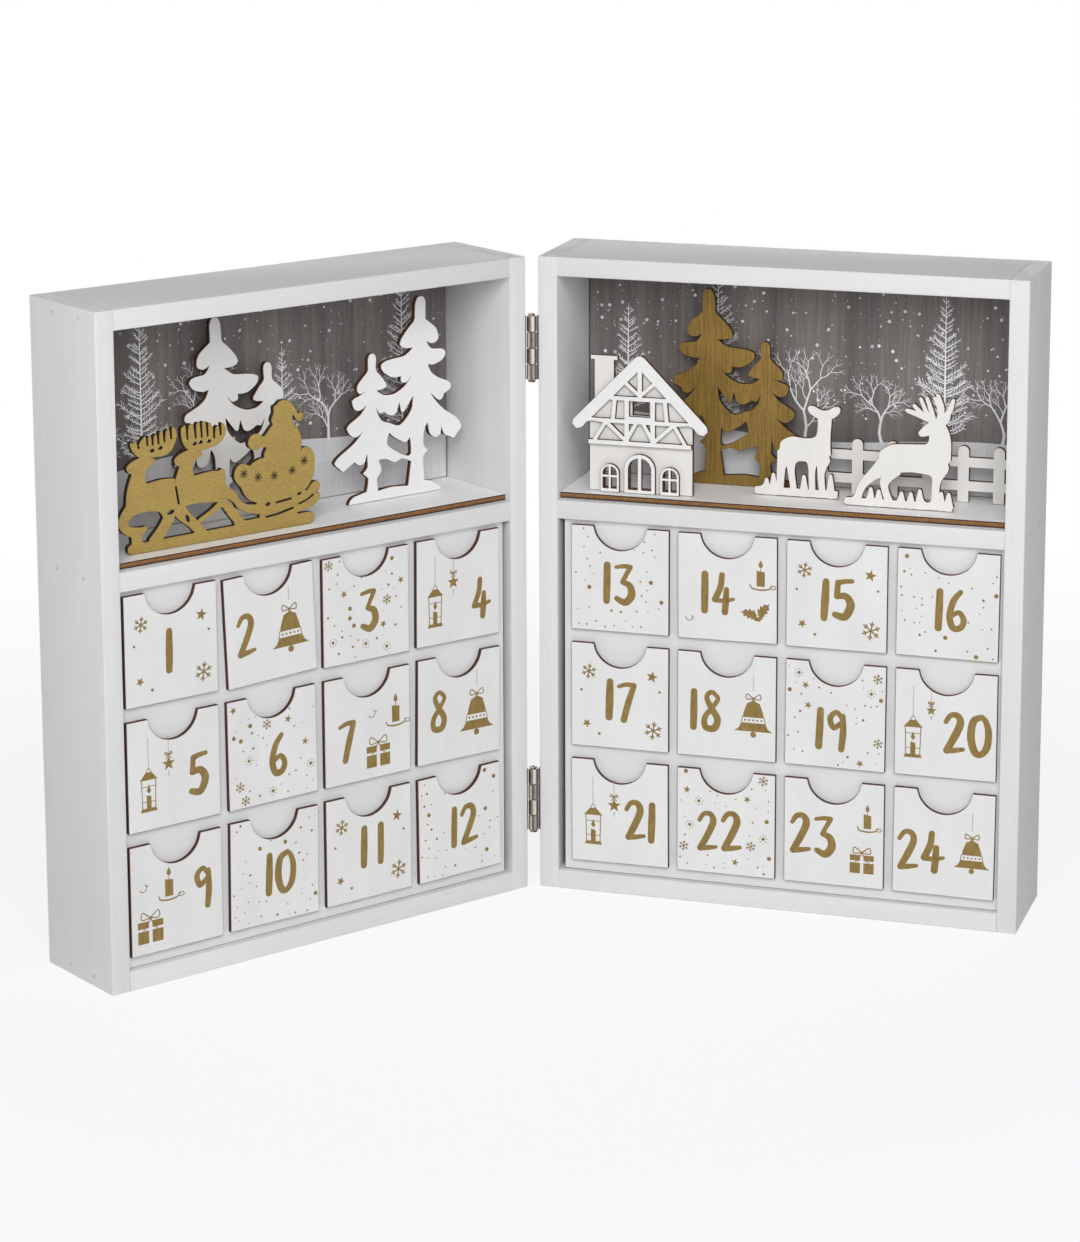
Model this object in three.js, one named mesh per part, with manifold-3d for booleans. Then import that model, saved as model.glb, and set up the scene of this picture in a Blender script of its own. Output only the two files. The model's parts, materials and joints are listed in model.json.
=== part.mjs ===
// Folding advent calendar: two shallow wooden cases hinged like a book. The upper part of each
// case holds a winter scene of cut plywood figures, the lower part twelve small drawers.
// Millimetres and degrees, +Z up, the open fronts face -Y, the origin is at the middle of the foot.

import * as THREE from 'three';
import { mergeVertices } from 'three/addons/utils/BufferGeometryUtils.js';
import Module from 'manifold-3d';

const wasm = await Module();
wasm.setup();

// Cases
const OPEN_ANGLE = 124.3;
const CASE_WIDTH = 226;
const CASE_DEPTH = 54;
const CASE_HEIGHT = 300;
const BOARD = 9;
const EASED_EDGE = 0.8;
const JOINT_GAP = 0.2;
const BACK_THICK = 3;
const BACK_RECESS = 2;

// Scene compartment
const SCENE_HEIGHT = 101;
const SHELF_THICK = 3;
const SHELF_SETBACK = 4;

// Drawer face and the crate behind it, which are narrower than the case by some play
const CASING_PLAY = 2.4;
const FACE_THICK = 2.5;
const CRATE_WALL = 3;

// Drawers
const COLUMNS = 4;
const ROWS = 3;
const FRONT_RECESS = 1;
const FRONT_THICK = 2.2;
const FRONT_GAP_ACROSS = 4.4;
const FRONT_GAP_UP = 6.3;
const FRONT_FROM_OUTER_SIDE = 1.8;
const FRONT_FROM_HINGE_SIDE = 6.4;
const FRONT_FROM_RAIL = 2.4;
const FRONT_FROM_BOTTOM = 5.5;
const FRONT_LAP = 1.3;
const NOTCH_WIDTH = 25.5;
const NOTCH_DEPTH = 11;
const NOTCH_RIM = 1.5;
const TRAY_WALL = 2;
const TRAY_PLAY = 0.3;
const TRAY_BACK_GAP = 2;

// Hinges
const HINGE_LENGTH = 30;
const HINGE_FROM_END = 42.5;
const KNUCKLES = 4;
const KNUCKLE_WALL = 1;
const KNUCKLE_GAP = 0.25;
const KNUCKLE_ROOT = 0.3;
const PIN_RADIUS = 1.1;
const PIN_PLAY = 0.2;
const PIN_HEAD = 0.7;
const PIN_PROUD = 0.4;
const HINGE_PLATE = 0.8;
const HINGE_PLATE_DEPTH = 12;
const SCREW_HOLE_RADIUS = 1.3;
const SCREW_HOLE_PITCH = 15;

// Cut figures, how tall they stand and their distances from the walls, shelf edge and back panel
const FIGURE_PLY = 2.5;
const SLEIGH_HEIGHT = 57.8;
const SLEIGH_FROM_WALL = 7;
const SLEIGH_FROM_EDGE = 8;
const TREE_HEADROOM = 9.3;
const NEAR_TREES_FROM_WALL = 6.6;
const NEAR_TREES_FROM_BACK = 17.5;
const FAR_TREES_FROM_WALL = 54.2;
const FAR_TREES_FROM_BACK = 4.5;
const GOLD_TREES_FROM_WALL = 38.4;
const GOLD_TREES_FROM_BACK = 8.2;
const HOUSE_HEIGHT = 64.5;
const HOUSE_TRIM = 2;
const HOUSE_FROM_WALL = 4.3;
const HOUSE_FROM_EDGE = 7;
const DOE_HEIGHT = 43.5;
const DOE_FROM_WALL = 80.5;
const DOE_FROM_BACK = 22.5;
const STAG_HEIGHT = 54;
const STAG_FROM_WALL = 26.2;
const STAG_FROM_EDGE = 11;
const FENCE_HEIGHT = 26.2;
const FENCE_PICKET = 5.3;
const FENCE_PITCH = 16.4;
const FENCE_RAIL = 4.7;
const FENCE_END = 7;
const FENCE_FROM_TREES = 2;
const FENCE_FROM_BACK = 10.5;

// How finely arcs, smooth outlines, strips and their round ends, eased edges and hinge barrels are cut
const ARC_STEPS = 4;
const OUTLINE_STEPS = 2;
const STRIP_STEPS = 3;
const CAP_STEPS = 3;
const EASE_STEPS = 1;
const BARREL_STEPS = 3;

// Worked out from the sizes above
const LEFT = -1;
const RIGHT = 1;
const innerWidth = CASE_WIDTH - 2 * BOARD;
const backFront = CASE_DEPTH - BACK_RECESS - BACK_THICK;
const shelfTop = CASE_HEIGHT - BOARD - SCENE_HEIGHT;
const railTop = shelfTop - SHELF_THICK;
const railBottom = railTop - BOARD;
const faceFront = FRONT_RECESS + FRONT_THICK + JOINT_GAP;
const allFrontsAcross = innerWidth - FRONT_FROM_OUTER_SIDE - FRONT_FROM_HINGE_SIDE;
const allFrontsUp = railBottom - BOARD - FRONT_FROM_RAIL - FRONT_FROM_BOTTOM;
const frontWidth = (allFrontsAcross - (COLUMNS - 1) * FRONT_GAP_ACROSS) / COLUMNS;
const frontHeight = (allFrontsUp - (ROWS - 1) * FRONT_GAP_UP) / ROWS;
const knuckleRadius = PIN_RADIUS + PIN_PLAY + KNUCKLE_WALL;
const pinOffset = JOINT_GAP + HINGE_PLATE + knuckleRadius - KNUCKLE_ROOT;

// Finishes
const white = () => new THREE.MeshStandardMaterial({ color: 0xe9e9ea, roughness: 0.55, metalness: 0 });
const whitePly = () => new THREE.MeshStandardMaterial({ color: 0xf1efec, roughness: 0.6, metalness: 0 });
const gold = () => new THREE.MeshStandardMaterial({ color: 0xb09140, roughness: 0.5, metalness: 0.3 });
const greyWood = () => new THREE.MeshStandardMaterial({ color: 0x5f5853, roughness: 0.75, metalness: 0 });
const nickel = () => new THREE.MeshStandardMaterial({ color: 0xb9b8b4, roughness: 0.3, metalness: 1 });

function part(name, geometry, material) {
  const mesh = new THREE.Mesh(geometry, material);
  mesh.name = name;
  return mesh;
}

// Joining and cutting closed solids
function toSolid(geometry) {
  const bare = geometry.clone();
  bare.deleteAttribute('normal');
  bare.deleteAttribute('uv');
  const merged = mergeVertices(bare, 1e-4);
  const mesh = new wasm.Mesh({
    numProp: 3,
    vertProperties: new Float32Array(merged.attributes.position.array),
    triVerts: new Uint32Array(merged.index.array),
  });
  return new wasm.Manifold(mesh);
}

function toGeometry(solid) {
  const mesh = solid.getMesh();
  const geometry = new THREE.BufferGeometry();
  geometry.setAttribute('position', new THREE.BufferAttribute(mesh.vertProperties, 3));
  geometry.setIndex(new THREE.BufferAttribute(mesh.triVerts, 1));
  geometry.computeVertexNormals();
  return geometry;
}

function join(geometries) {
  let solid = toSolid(geometries[0]);
  for (const geometry of geometries.slice(1)) {
    solid = solid.add(toSolid(geometry));
  }
  return toGeometry(solid);
}

function cut(geometry, tools) {
  let solid = toSolid(geometry);
  for (const tool of tools) {
    solid = solid.subtract(toSolid(tool));
  }
  return toGeometry(solid);
}

// A box between two corners
function block(x0, x1, y0, y1, z0, z1) {
  const geometry = new THREE.BoxGeometry(x1 - x0, y1 - y0, z1 - z0);
  geometry.translate((x0 + x1) / 2, (y0 + y1) / 2, (z0 + z1) / 2);
  return geometry;
}

// A piece of constant section along +Z
function extruded(shape, length, steps) {
  return new THREE.ExtrudeGeometry(shape, { depth: length, bevelEnabled: false, curveSegments: steps });
}

// A flat piece cut from sheet: the outline is drawn as seen from the front, x across and z up
function sheet(shape, front, thick) {
  const geometry = extruded(shape, thick, ARC_STEPS);
  geometry.rotateX(Math.PI / 2);
  geometry.translate(0, front + thick, 0);
  return geometry;
}

// The same with openings cut through it
function pierced(shape, openings, front, thick) {
  return cut(sheet(shape, front, thick), openings.map((opening) => sheet(opening, front - thick, 3 * thick)));
}

// Outlines
function vector([x, y]) {
  return new THREE.Vector2(x, y);
}

function polygon(points) {
  return new THREE.Shape(points.map(vector));
}

function rectangle(x0, x1, y0, y1) {
  return polygon([[x0, y0], [x1, y0], [x1, y1], [x0, y1]]);
}

function disc([x, y], radius) {
  const shape = new THREE.Shape();
  shape.absarc(x, y, radius, 0, Math.PI);
  shape.absarc(x, y, radius, Math.PI, Math.PI * 2);
  return shape;
}

// A straight bar with square ends
function bar([x0, y0], [x1, y1], width) {
  const across = new THREE.Vector2(y0 - y1, x1 - x0).setLength(width / 2);
  return polygon([
    [x0 - across.x, y0 - across.y],
    [x1 - across.x, y1 - across.y],
    [x1 + across.x, y1 + across.y],
    [x0 + across.x, y0 + across.y],
  ]);
}

// A doorway: straight sides under a half-round top
function arch(x, foot, half, top) {
  const shape = new THREE.Shape();
  shape.moveTo(x - half, foot);
  shape.lineTo(x + half, foot);
  shape.absarc(x, top - half, half, 0, Math.PI);
  return shape;
}

// A band along a smooth line, with round ends. Its width changes evenly from point to point.
function strip(points, widths) {
  const line = new THREE.SplineCurve(points.map(vector));
  const spans = points.length - 1;
  const steps = spans > 1 ? spans * STRIP_STEPS : 1;
  const stations = [];
  for (let i = 0; i <= steps; i += 1) {
    const t = i / steps;
    const span = Math.min(Math.floor(t * spans), spans - 1);
    const half = THREE.MathUtils.lerp(widths[span], widths[span + 1], t * spans - span) / 2;
    stations.push({ at: line.getPoint(t), heading: line.getTangent(t).angle(), half });
  }
  const edge = ({ at, heading, half }, turn) => {
    const angle = heading + turn;
    return new THREE.Vector2(at.x + half * Math.cos(angle), at.y + half * Math.sin(angle));
  };
  const cap = (station, turn) => {
    const points = [];
    for (let i = 1; i < CAP_STEPS; i += 1) {
      points.push(edge(station, turn + (Math.PI * i) / CAP_STEPS));
    }
    return points;
  };
  const quarter = Math.PI / 2;
  return new THREE.Shape([
    ...stations.map((station) => edge(station, -quarter)),
    ...cap(stations[steps], -quarter),
    ...stations.toReversed().map((station) => edge(station, quarter)),
    ...cap(stations[0], quarter),
  ]);
}

// A closed outline of smooth runs that meet in sharp corners. Each run starts where the last ended.
function outline(runs) {
  const points = [];
  let start = runs.at(-1).at(-1);
  for (const run of runs) {
    const steps = run.length > 1 ? run.length * OUTLINE_STEPS : 1;
    points.push(...new THREE.SplineCurve([start, ...run].map(vector)).getPoints(steps).slice(1));
    start = run.at(-1);
  }
  return new THREE.Shape(points);
}

// Boards with their four long edges eased
function easedBoard(width, depth, length) {
  const r = EASED_EDGE;
  const quarter = Math.PI / 2;
  const section = new THREE.Shape();
  section.absarc(width - r, r, r, -quarter, 0);
  section.absarc(width - r, depth - r, r, 0, quarter);
  section.absarc(r, depth - r, r, quarter, 2 * quarter);
  section.absarc(r, r, r, 2 * quarter, 3 * quarter);
  return extruded(section, length, EASE_STEPS);
}

function uprightBoard(x0, x1, y0, y1, z0, z1) {
  const geometry = easedBoard(x1 - x0, y1 - y0, z1 - z0);
  geometry.translate(x0, y0, z0);
  return geometry;
}

function levelBoard(x0, x1, y0, y1, z0, z1) {
  const geometry = easedBoard(z1 - z0, y1 - y0, x1 - x0);
  geometry.rotateY(Math.PI / 2);
  geometry.translate(x0, y0, z1);
  return geometry;
}

// In a case's own frame x = 0 is its hinge-side face and y = 0 its front. Its span is the width
// between the side boards.
function spanOf(side) {
  const hinge = side * BOARD;
  const outer = side * (CASE_WIDTH - BOARD);
  return { left: Math.min(hinge, outer), right: Math.max(hinge, outer) };
}

function caseBoards(side, name) {
  const { left, right } = spanOf(side);
  const outer = side === RIGHT ? right : left - BOARD;
  const hinge = side === RIGHT ? left - BOARD : right;
  const from = left + JOINT_GAP;
  const to = right - JOINT_GAP;
  const behind = backFront - JOINT_GAP;
  const top = CASE_HEIGHT - BOARD;
  const low = BOARD + JOINT_GAP;
  const panel = block(from, to, backFront, backFront + BACK_THICK, low, top - JOINT_GAP);
  return [
    part(`${name}_outer_side`, uprightBoard(outer, outer + BOARD, 0, CASE_DEPTH, 0, CASE_HEIGHT), white()),
    part(`${name}_hinge_side`, uprightBoard(hinge, hinge + BOARD, 0, CASE_DEPTH, 0, CASE_HEIGHT), white()),
    part(`${name}_top`, levelBoard(from, to, 0, CASE_DEPTH, top, CASE_HEIGHT), white()),
    part(`${name}_bottom`, levelBoard(from, to, 0, CASE_DEPTH, 0, BOARD), white()),
    part(`${name}_mid_rail`, levelBoard(from, to, 0, behind, railBottom, railTop - JOINT_GAP), white()),
    part(`${name}_shelf`, block(from, to, SHELF_SETBACK, behind, railTop, shelfTop), whitePly()),
    part(`${name}_back_panel`, panel, greyWood()),
  ];
}

// The drawers of one case, numbered along the rows from the top left, with the window of each
function drawerPlaces(side) {
  const start = spanOf(side).left + (side === RIGHT ? FRONT_FROM_HINGE_SIDE : FRONT_FROM_OUTER_SIDE);
  const places = [];
  for (let row = 0; row < ROWS; row += 1) {
    for (let column = 0; column < COLUMNS; column += 1) {
      const x = start + column * (frontWidth + FRONT_GAP_ACROSS);
      const z = railBottom - FRONT_FROM_RAIL - frontHeight - row * (frontHeight + FRONT_GAP_UP);
      const window = {
        left: x + FRONT_LAP,
        right: x + frontWidth - FRONT_LAP,
        low: z + FRONT_LAP,
        high: z + frontHeight - NOTCH_DEPTH - NOTCH_RIM,
      };
      places.push({ x, z, window });
    }
  }
  return places;
}

// The outline of the drawer face and of the crate, clear of the boards round them
function casing(side) {
  const { left, right } = spanOf(side);
  return {
    left: left + (side === RIGHT ? CASING_PLAY : JOINT_GAP),
    right: right - (side === RIGHT ? JOINT_GAP : CASING_PLAY),
    low: BOARD + JOINT_GAP,
    high: railBottom - JOINT_GAP,
  };
}

// The white sheet that the drawer fronts close against
function drawerFace(side, name) {
  const { left, right, low, high } = casing(side);
  const windows = drawerPlaces(side).map(({ window }) => {
    return rectangle(window.left, window.right, window.low, window.high);
  });
  const face = pierced(rectangle(left, right, low, high), windows, faceFront, FACE_THICK);
  return part(`${name}_drawer_face`, face, white());
}

// The crate of crossed walls behind the face. Each tray runs on the floor of its own cell.
function drawerCrate(side, name) {
  const { left, right, low, high } = casing(side);
  const half = (frontWidth + FRONT_GAP_ACROSS - CRATE_WALL) / 2;
  const cells = drawerPlaces(side).map(({ x, window }) => {
    const centre = x + frontWidth / 2;
    const cellLeft = Math.min(Math.max(centre - half, left + CRATE_WALL), window.left);
    const cellRight = Math.max(Math.min(centre + half, right - CRATE_WALL), window.right);
    const above = window.low + frontHeight + FRONT_GAP_UP - CRATE_WALL;
    return rectangle(cellLeft, cellRight, window.low, Math.min(above, high - CRATE_WALL));
  });
  const front = faceFront + FACE_THICK + JOINT_GAP;
  const crate = pierced(rectangle(left, right, low, high), cells, front, backFront - JOINT_GAP - front);
  return part(`${name}_drawer_crate`, crate, whitePly());
}

// A drawer front with the scooped finger notch in its top edge
function drawerFront(x, z) {
  const half = NOTCH_WIDTH / 2;
  const radius = (half * half + NOTCH_DEPTH * NOTCH_DEPTH) / (2 * NOTCH_DEPTH);
  const rise = radius - NOTCH_DEPTH;
  const start = Math.atan2(-rise, half);
  const shape = new THREE.Shape();
  shape.moveTo(0, 0);
  shape.lineTo(frontWidth, 0);
  shape.lineTo(frontWidth, frontHeight);
  shape.absarc(frontWidth / 2, frontHeight + rise, radius, start, -Math.PI - start, true);
  shape.lineTo(0, frontHeight);
  const geometry = sheet(shape, FRONT_RECESS, FRONT_THICK);
  geometry.translate(x, 0, z);
  return geometry;
}

// A drawer: the front glued to an open-topped tray that passes through its window
function drawer(number, { x, z, window }) {
  const left = window.left + TRAY_PLAY;
  const right = window.right - TRAY_PLAY;
  const low = window.low + TRAY_PLAY;
  const high = window.high - TRAY_PLAY;
  const glued = FRONT_RECESS + FRONT_THICK;
  const back = backFront - TRAY_BACK_GAP;
  const tray = block(left, right, glued - FRONT_THICK / 2, back, low, high);
  const hollow = block(
    left + TRAY_WALL,
    right - TRAY_WALL,
    glued + TRAY_WALL,
    back - TRAY_WALL,
    low + TRAY_WALL,
    high + TRAY_WALL,
  );
  const label = String(number).padStart(2, '0');
  return part(`drawer_${label}`, join([drawerFront(x, z), cut(tray, [hollow])]), whitePly());
}

// One cut figure: shapes joined, windows and slits cut through
function figure(shapes, cuts, thick) {
  const whole = join(shapes.map((shape) => sheet(shape, 0, thick)));
  return cut(whole, cuts.map((shape) => sheet(shape, -thick, 3 * thick)));
}

// A figure is drawn in squares: this brings it to its height, on the shelf, with one end at x
function stand(geometry, height, end, x, front) {
  geometry.computeBoundingBox();
  const drawn = geometry.boundingBox;
  const square = height / (drawn.max.z - drawn.min.z);
  geometry.scale(square, 1, square);
  const edge = (end === LEFT ? drawn.min.x : drawn.max.x) * square;
  geometry.translate(x - edge, front, shelfTop + JOINT_GAP - drawn.min.z * square);
  return geometry;
}

function turnedOver(geometry) {
  geometry.scale(-1, 1, 1);
  geometry.setIndex(Array.from(geometry.index.array).reverse());
  geometry.computeVertexNormals();
  return geometry;
}

// Two firs, the tall one on the right, growing from one mound of snow. Their boughs have grown
// together between the trunks.
function firPair() {
  const leftSideOfSmall = [
    [[9.7, 3], [17.7, 5]],
    [[18.7, 11], [15.7, 13.5], [18.2, 16], [18.2, 22.5]],
    [[16.7, 18.3], [13.7, 17.8], [11.2, 19.5]],
    [[7.7, 17.4], [5.2, 16], [2.6, 17.8], [0.2, 20.5], [3.4, 23.6], [10.7, 28], [16.2, 33]],
    [[12.7, 31], [9.7, 31.8], [7.2, 35.4], [9.6, 38], [14.7, 41], [18.2, 45]],
    [[15.4, 43.2], [12, 43.6], [10.2, 48], [13.7, 49.7], [18.2, 51.5]],
    [[14.7, 50.7], [13.2, 54], [19.2, 61]],
  ];
  const betweenTheTops = [
    [[19.6, 67], [21.7, 68.6], [23.7, 67], [23.7, 61]],
    [[29.2, 54], [28.7, 51.8], [24.2, 51]],
    [[27.7, 48.8], [33.7, 48.5], [39.7, 51.5], [43.2, 55.5]],
    [[40.5, 52.8], [37.6, 53.6], [37.5, 56]],
    [[32.7, 56.1], [27.6, 59.4], [26.7, 63], [31.7, 64.6], [39.7, 65.5], [44.2, 68.5]],
    [[39.7, 68.8], [37, 71], [39.7, 75.5], [45.2, 81]],
  ];
  const rightSideOfTall = [
    [[46.4, 90], [49, 91.9], [51.5, 90], [51.7, 81]],
    [[57.7, 76], [58.7, 70.8], [55.2, 69.2], [52.2, 70.6]],
    [[54.7, 67.2], [60.7, 66.2], [62.9, 64], [60.7, 60.8], [55.7, 59.2], [52.9, 59.8]],
    [[54.7, 56], [58.7, 53], [64.6, 50.2], [65.6, 47.2], [61.6, 44.9]],
    [[60.9, 43], [58.6, 42.4], [54.2, 46]],
    [[58.2, 41], [62.7, 37], [68.7, 33], [71.6, 28.4], [69.2, 25.5]],
    [[67.2, 23.3], [64.8, 24.4], [61.7, 25.8], [60.1, 29.5]],
    [[59.5, 26.5], [57.2, 25], [53.6, 27], [52.2, 32.5]],
    [[50.4, 29], [50.2, 22], [52.8, 19.6], [49.9, 17.2], [50.2, 6]],
    [[53.7, 5], [57.7, 2.8], [60.5, 0]],
  ];
  return outline([...leftSideOfSmall, ...betweenTheTops, ...rightSideOfTall, [[7.7, 0]]]);
}

// The gaps between the boughs and between the trunks of the pair
function firWindows() {
  return [
    outline([
      [[24.6, 40.4], [26.7, 37], [31.7, 35], [36.2, 33.5], [40.6, 36.6], [43.4, 40.6], [44.2, 46]],
      [[39.7, 40], [37.7, 39.5], [36.5, 44]],
      [[34.6, 39.2], [31.4, 38.6], [27.7, 40.5], [25.6, 40], [23.7, 43]],
    ]),
    outline([
      [[29.6, 25.6], [34.7, 21.5], [39.7, 19], [42.7, 19.5], [42.2, 27]],
      [[39.7, 25], [33.7, 28], [30.7, 30.5]],
    ]),
    outline([
      [[24.2, 4.5]],
      [[31.7, 5.3], [40.9, 4.5]],
      [[42.7, 15.6]],
      [[37.7, 17.6], [33.7, 16.4], [28.7, 18.6], [24.7, 18.6]],
      [[26.4, 13.4], [23.9, 10.6], [24.2, 4.5]],
    ]),
  ];
}

function trees(name, mirrored, end, x, fromBack, material) {
  const pair = figure([firPair()], firWindows(), FIGURE_PLY);
  const front = backFront - fromBack - FIGURE_PLY;
  const placed = stand(mirrored ? turnedOver(pair) : pair, SCENE_HEIGHT - TREE_HEADROOM, end, x, front);
  return part(name, placed, material);
}

// A deer of the team in full gallop, its muzzle at x: body, neck, ear and head
function teamDeer(x) {
  const runs = [
    [[25.8, 23], [24.6, 30.6]],
    [[19, 31.2], [13, 30.7], [10.2, 30.2]],
    [[9.6, 33.6], [10, 37]],
    [[14.2, 38.4], [14.6, 40.6], [8.1, 42.4]],
    [[3.4, 41], [0.4, 39.2], [1, 36.4], [3, 35.4]],
    [[1.2, 31], [0, 26], [0, 20], [3, 17.2]],
    [[10, 17.8], [17, 17.2], [24.6, 16.6]],
  ];
  return outline(runs.map((run) => run.map(([dx, y]) => [x + dx, y])));
}

// The antlers of the leading and of the following deer, before their tines are slit apart
function teamAntlers() {
  return [
    outline([
      [[9, 43.6], [6.6, 47.6], [8, 49.7], [11.2, 48.4], [14, 51], [18.2, 50.6], [21.6, 52.4]],
      [[24.6, 51.6], [28, 53.4], [30.6, 50.6], [26.8, 42.2], [20, 41.2], [12.4, 41.6]],
    ]),
    outline([
      [[33.4, 44.6], [32.2, 50], [33.4, 53.3], [37.4, 52.8], [43, 53.9], [47.6, 52.4]],
      [[49.8, 49.8], [53.2, 51.9], [55.8, 48.6], [53.2, 43.6], [48.6, 41.7], [42, 41], [35.6, 42.4]],
    ]),
  ];
}

function antlerSlits() {
  const holes = [[17.7, 44.4], [21.8, 45], [39.1, 44.5], [42.2, 44.7], [46.4, 44.6]];
  const slits = [[10.9, 46.4], [15.4, 47], [18.1, 47], [21, 47], [24, 47.6], [27.4, 48.4]];
  slits.push([35.6, 47], [39.8, 47], [42.9, 47], [45.9, 47], [49.3, 45.8], [52.6, 46.8]);
  return [
    ...holes.map(([x, y]) => strip([[x - 0.5, y], [x + 0.5, y]], [1.3, 1.3])),
    ...slits.map(([x, y]) => strip([[x, y], [x - 0.3, y + 9]], [0.8, 1.1])),
  ];
}

function teamLegs() {
  return [
    strip([[7, 20.5], [2.5, 15.4], [3.8, 11.4], [8.6, 9.7], [13.6, 10.6]], [6.5, 5.2, 4.6, 4.2, 2.2]),
    strip([[8.8, 9.6], [9, 3]], [5, 5]),
    strip([[23.4, 19.5], [25.4, 14], [22.4, 9.4], [17.4, 3.4]], [7, 6.2, 5.2, 6]),
    strip([[29.4, 20], [32, 14.4], [37.4, 9.4], [42.6, 3.4]], [8, 6, 4.8, 5]),
    strip([[53.4, 17], [47.6, 13.2], [41, 9.9]], [3.6, 2.3, 2.2]),
    strip([[50.4, 24], [54.6, 17.4], [57, 12], [60.2, 8], [62, 3]], [8, 6.4, 4.8, 4.6, 5]),
    strip([[51, 25.4], [52.8, 29.4]], [7, 4.6]),
    strip([[50.6, 20], [57, 19.6], [60.6, 14.8], [65, 11.9], [73, 10.4]], [4, 4.8, 3.6, 3.6, 5]),
  ];
}

function sleighBody() {
  return [
    outline([
      [[66, 15.7], [63.6, 18.8], [62.6, 21.8]],
      [[59.6, 24.2], [58.8, 28], [60.6, 31.4], [63.6, 32.6], [67.4, 30.4]],
      [[70, 32.4], [76, 33.4], [93.8, 33.6]],
      [[96.8, 35.6], [100.4, 33.7], [101.7, 29], [101, 22], [97.2, 14.6]],
      [[84, 13], [71, 13.2]],
    ]),
    strip([[71, 10.8], [88, 11.8], [96.6, 13.8], [102, 16.6]], [5.4, 5, 4.6, 5.4]),
    strip([[88, 8], [95, 8.7], [99.6, 10], [102.4, 11.8]], [5, 4.4, 4.6, 4.2]),
    bar([72, 7], [92, 7], 6),
    bar([60.5, 4.2], [73, 4.6], 4.2),
    strip([[6.3, 2.3], [98.8, 2.8]], [4.6, 5.4]),
    bar([6.3, 1.2], [98.8, 1.2], 2.4),
  ];
}

// The driver in a bobble cap, one mitten out to the reins
function driver() {
  return [
    outline([
      [[74.8, 34.4], [76.2, 37.4]],
      [[75, 37.9], [73.4, 38.2]],
      [[70.6, 36.8], [67, 38.4], [66.3, 41.8], [68.6, 44.6], [72, 44.6], [73.8, 43.2]],
      [[75.6, 43.1], [77.6, 45.6], [79.8, 47.4]],
      [[78.8, 49.8], [80.4, 52.4]],
      [[80.2, 55.2], [82, 56.2]],
      [[84, 58], [88, 57.4], [91.6, 53.6], [92.8, 51]],
      [[95.2, 51], [96, 48.6], [93.8, 46.9], [91.8, 48.2], [90.6, 50.6]],
      [[90, 47.6], [92.6, 44.4], [94.8, 40], [94.9, 36.6], [93.8, 31]],
      [[75.2, 31]],
    ]),
  ];
}

// The slits of the sleigh and between the legs and traces of the team
function sleighSlits() {
  return [
    strip([[29.2, 26.6], [30.5, 19]], [0.9, 0.9]),
    strip([[25.2, 15.6], [27.4, 16.2]], [1.4, 1.4]),
    strip([[34.2, 13], [35.2, 10.8]], [1.2, 1.2]),
    strip([[55.4, 17.2], [58.5, 14.8], [60.3, 12], [65, 9.6]], [0.7, 1, 1, 0.7]),
    strip([[75.6, 12], [77, 12.1]], [1.3, 1.3]),
    strip([[80.8, 12.1], [88.6, 12.9]], [0.8, 0.8]),
    strip([[92.4, 14.2], [93.8, 14.6]], [0.8, 0.8]),
    strip([[96.8, 15.6], [101.4, 20.2]], [0.8, 1]),
    strip([[93, 9.9], [97, 11], [100.6, 13]], [0.7, 0.8, 0.7]),
    strip([[75.4, 6.4], [83, 7.2], [89.6, 8.5]], [0.8, 1, 0.8]),
    strip([[93.6, 5.8], [103, 6.3]], [0.7, 0.9]),
  ];
}

function sleighTeam(side) {
  const shapes = [
    teamDeer(4.2),
    teamDeer(28.2),
    ...teamAntlers(),
    ...teamLegs(),
    ...sleighBody(),
    ...driver(),
  ];
  const x = spanOf(side).left + SLEIGH_FROM_WALL;
  const team = figure(shapes, [...sleighSlits(), ...antlerSlits()], FIGURE_PLY);
  return part('sleigh_team', stand(team, SLEIGH_HEIGHT, LEFT, x, SHELF_SETBACK + SLEIGH_FROM_EDGE), gold());
}

// A strip of ground with blades of grass, for a deer to stand on
function ground(width, height, blades) {
  const shapes = [rectangle(0, width, 0, height)];
  for (const [x, top] of blades) {
    shapes.push(strip([[x, 1.8], [x, top - 0.9]], [4.6, 1.8]));
  }
  return shapes;
}

function doe(side) {
  const shapes = [
    strip([[16.9, 22.3], [23, 22], [29.8, 22.4]], [12, 10.8, 11.4]),
    strip([[31, 21], [32.4, 30], [32.8, 36.6]], [9.6, 6.4, 6.6]),
    strip([[31, 38], [26.6, 41]], [3.4, 4.4]),
    strip([[34.6, 38], [38.2, 41.2]], [3.4, 4.4]),
    strip([[14.4, 20], [12.6, 13], [12.2, 4]], [7.6, 4.2, 3.4]),
    strip([[17, 18], [17.2, 12], [18.6, 3]], [6, 3.4, 3]),
    strip([[27.4, 19], [27, 12], [27.2, 3]], [6, 3.2, 3.2]),
    strip([[32.4, 18], [31.2, 12], [32, 3]], [7, 3.4, 3.2]),
    ...ground(39.3, 3.8, [[5.8, 8], [9, 10.5], [23.4, 10.5], [35.8, 11.5]]),
  ];
  const x = spanOf(side).right - DOE_FROM_WALL;
  const front = backFront - DOE_FROM_BACK - FIGURE_PLY;
  return part('doe', stand(figure(shapes, [], FIGURE_PLY), DOE_HEIGHT, RIGHT, x, front), whitePly());
}

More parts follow.
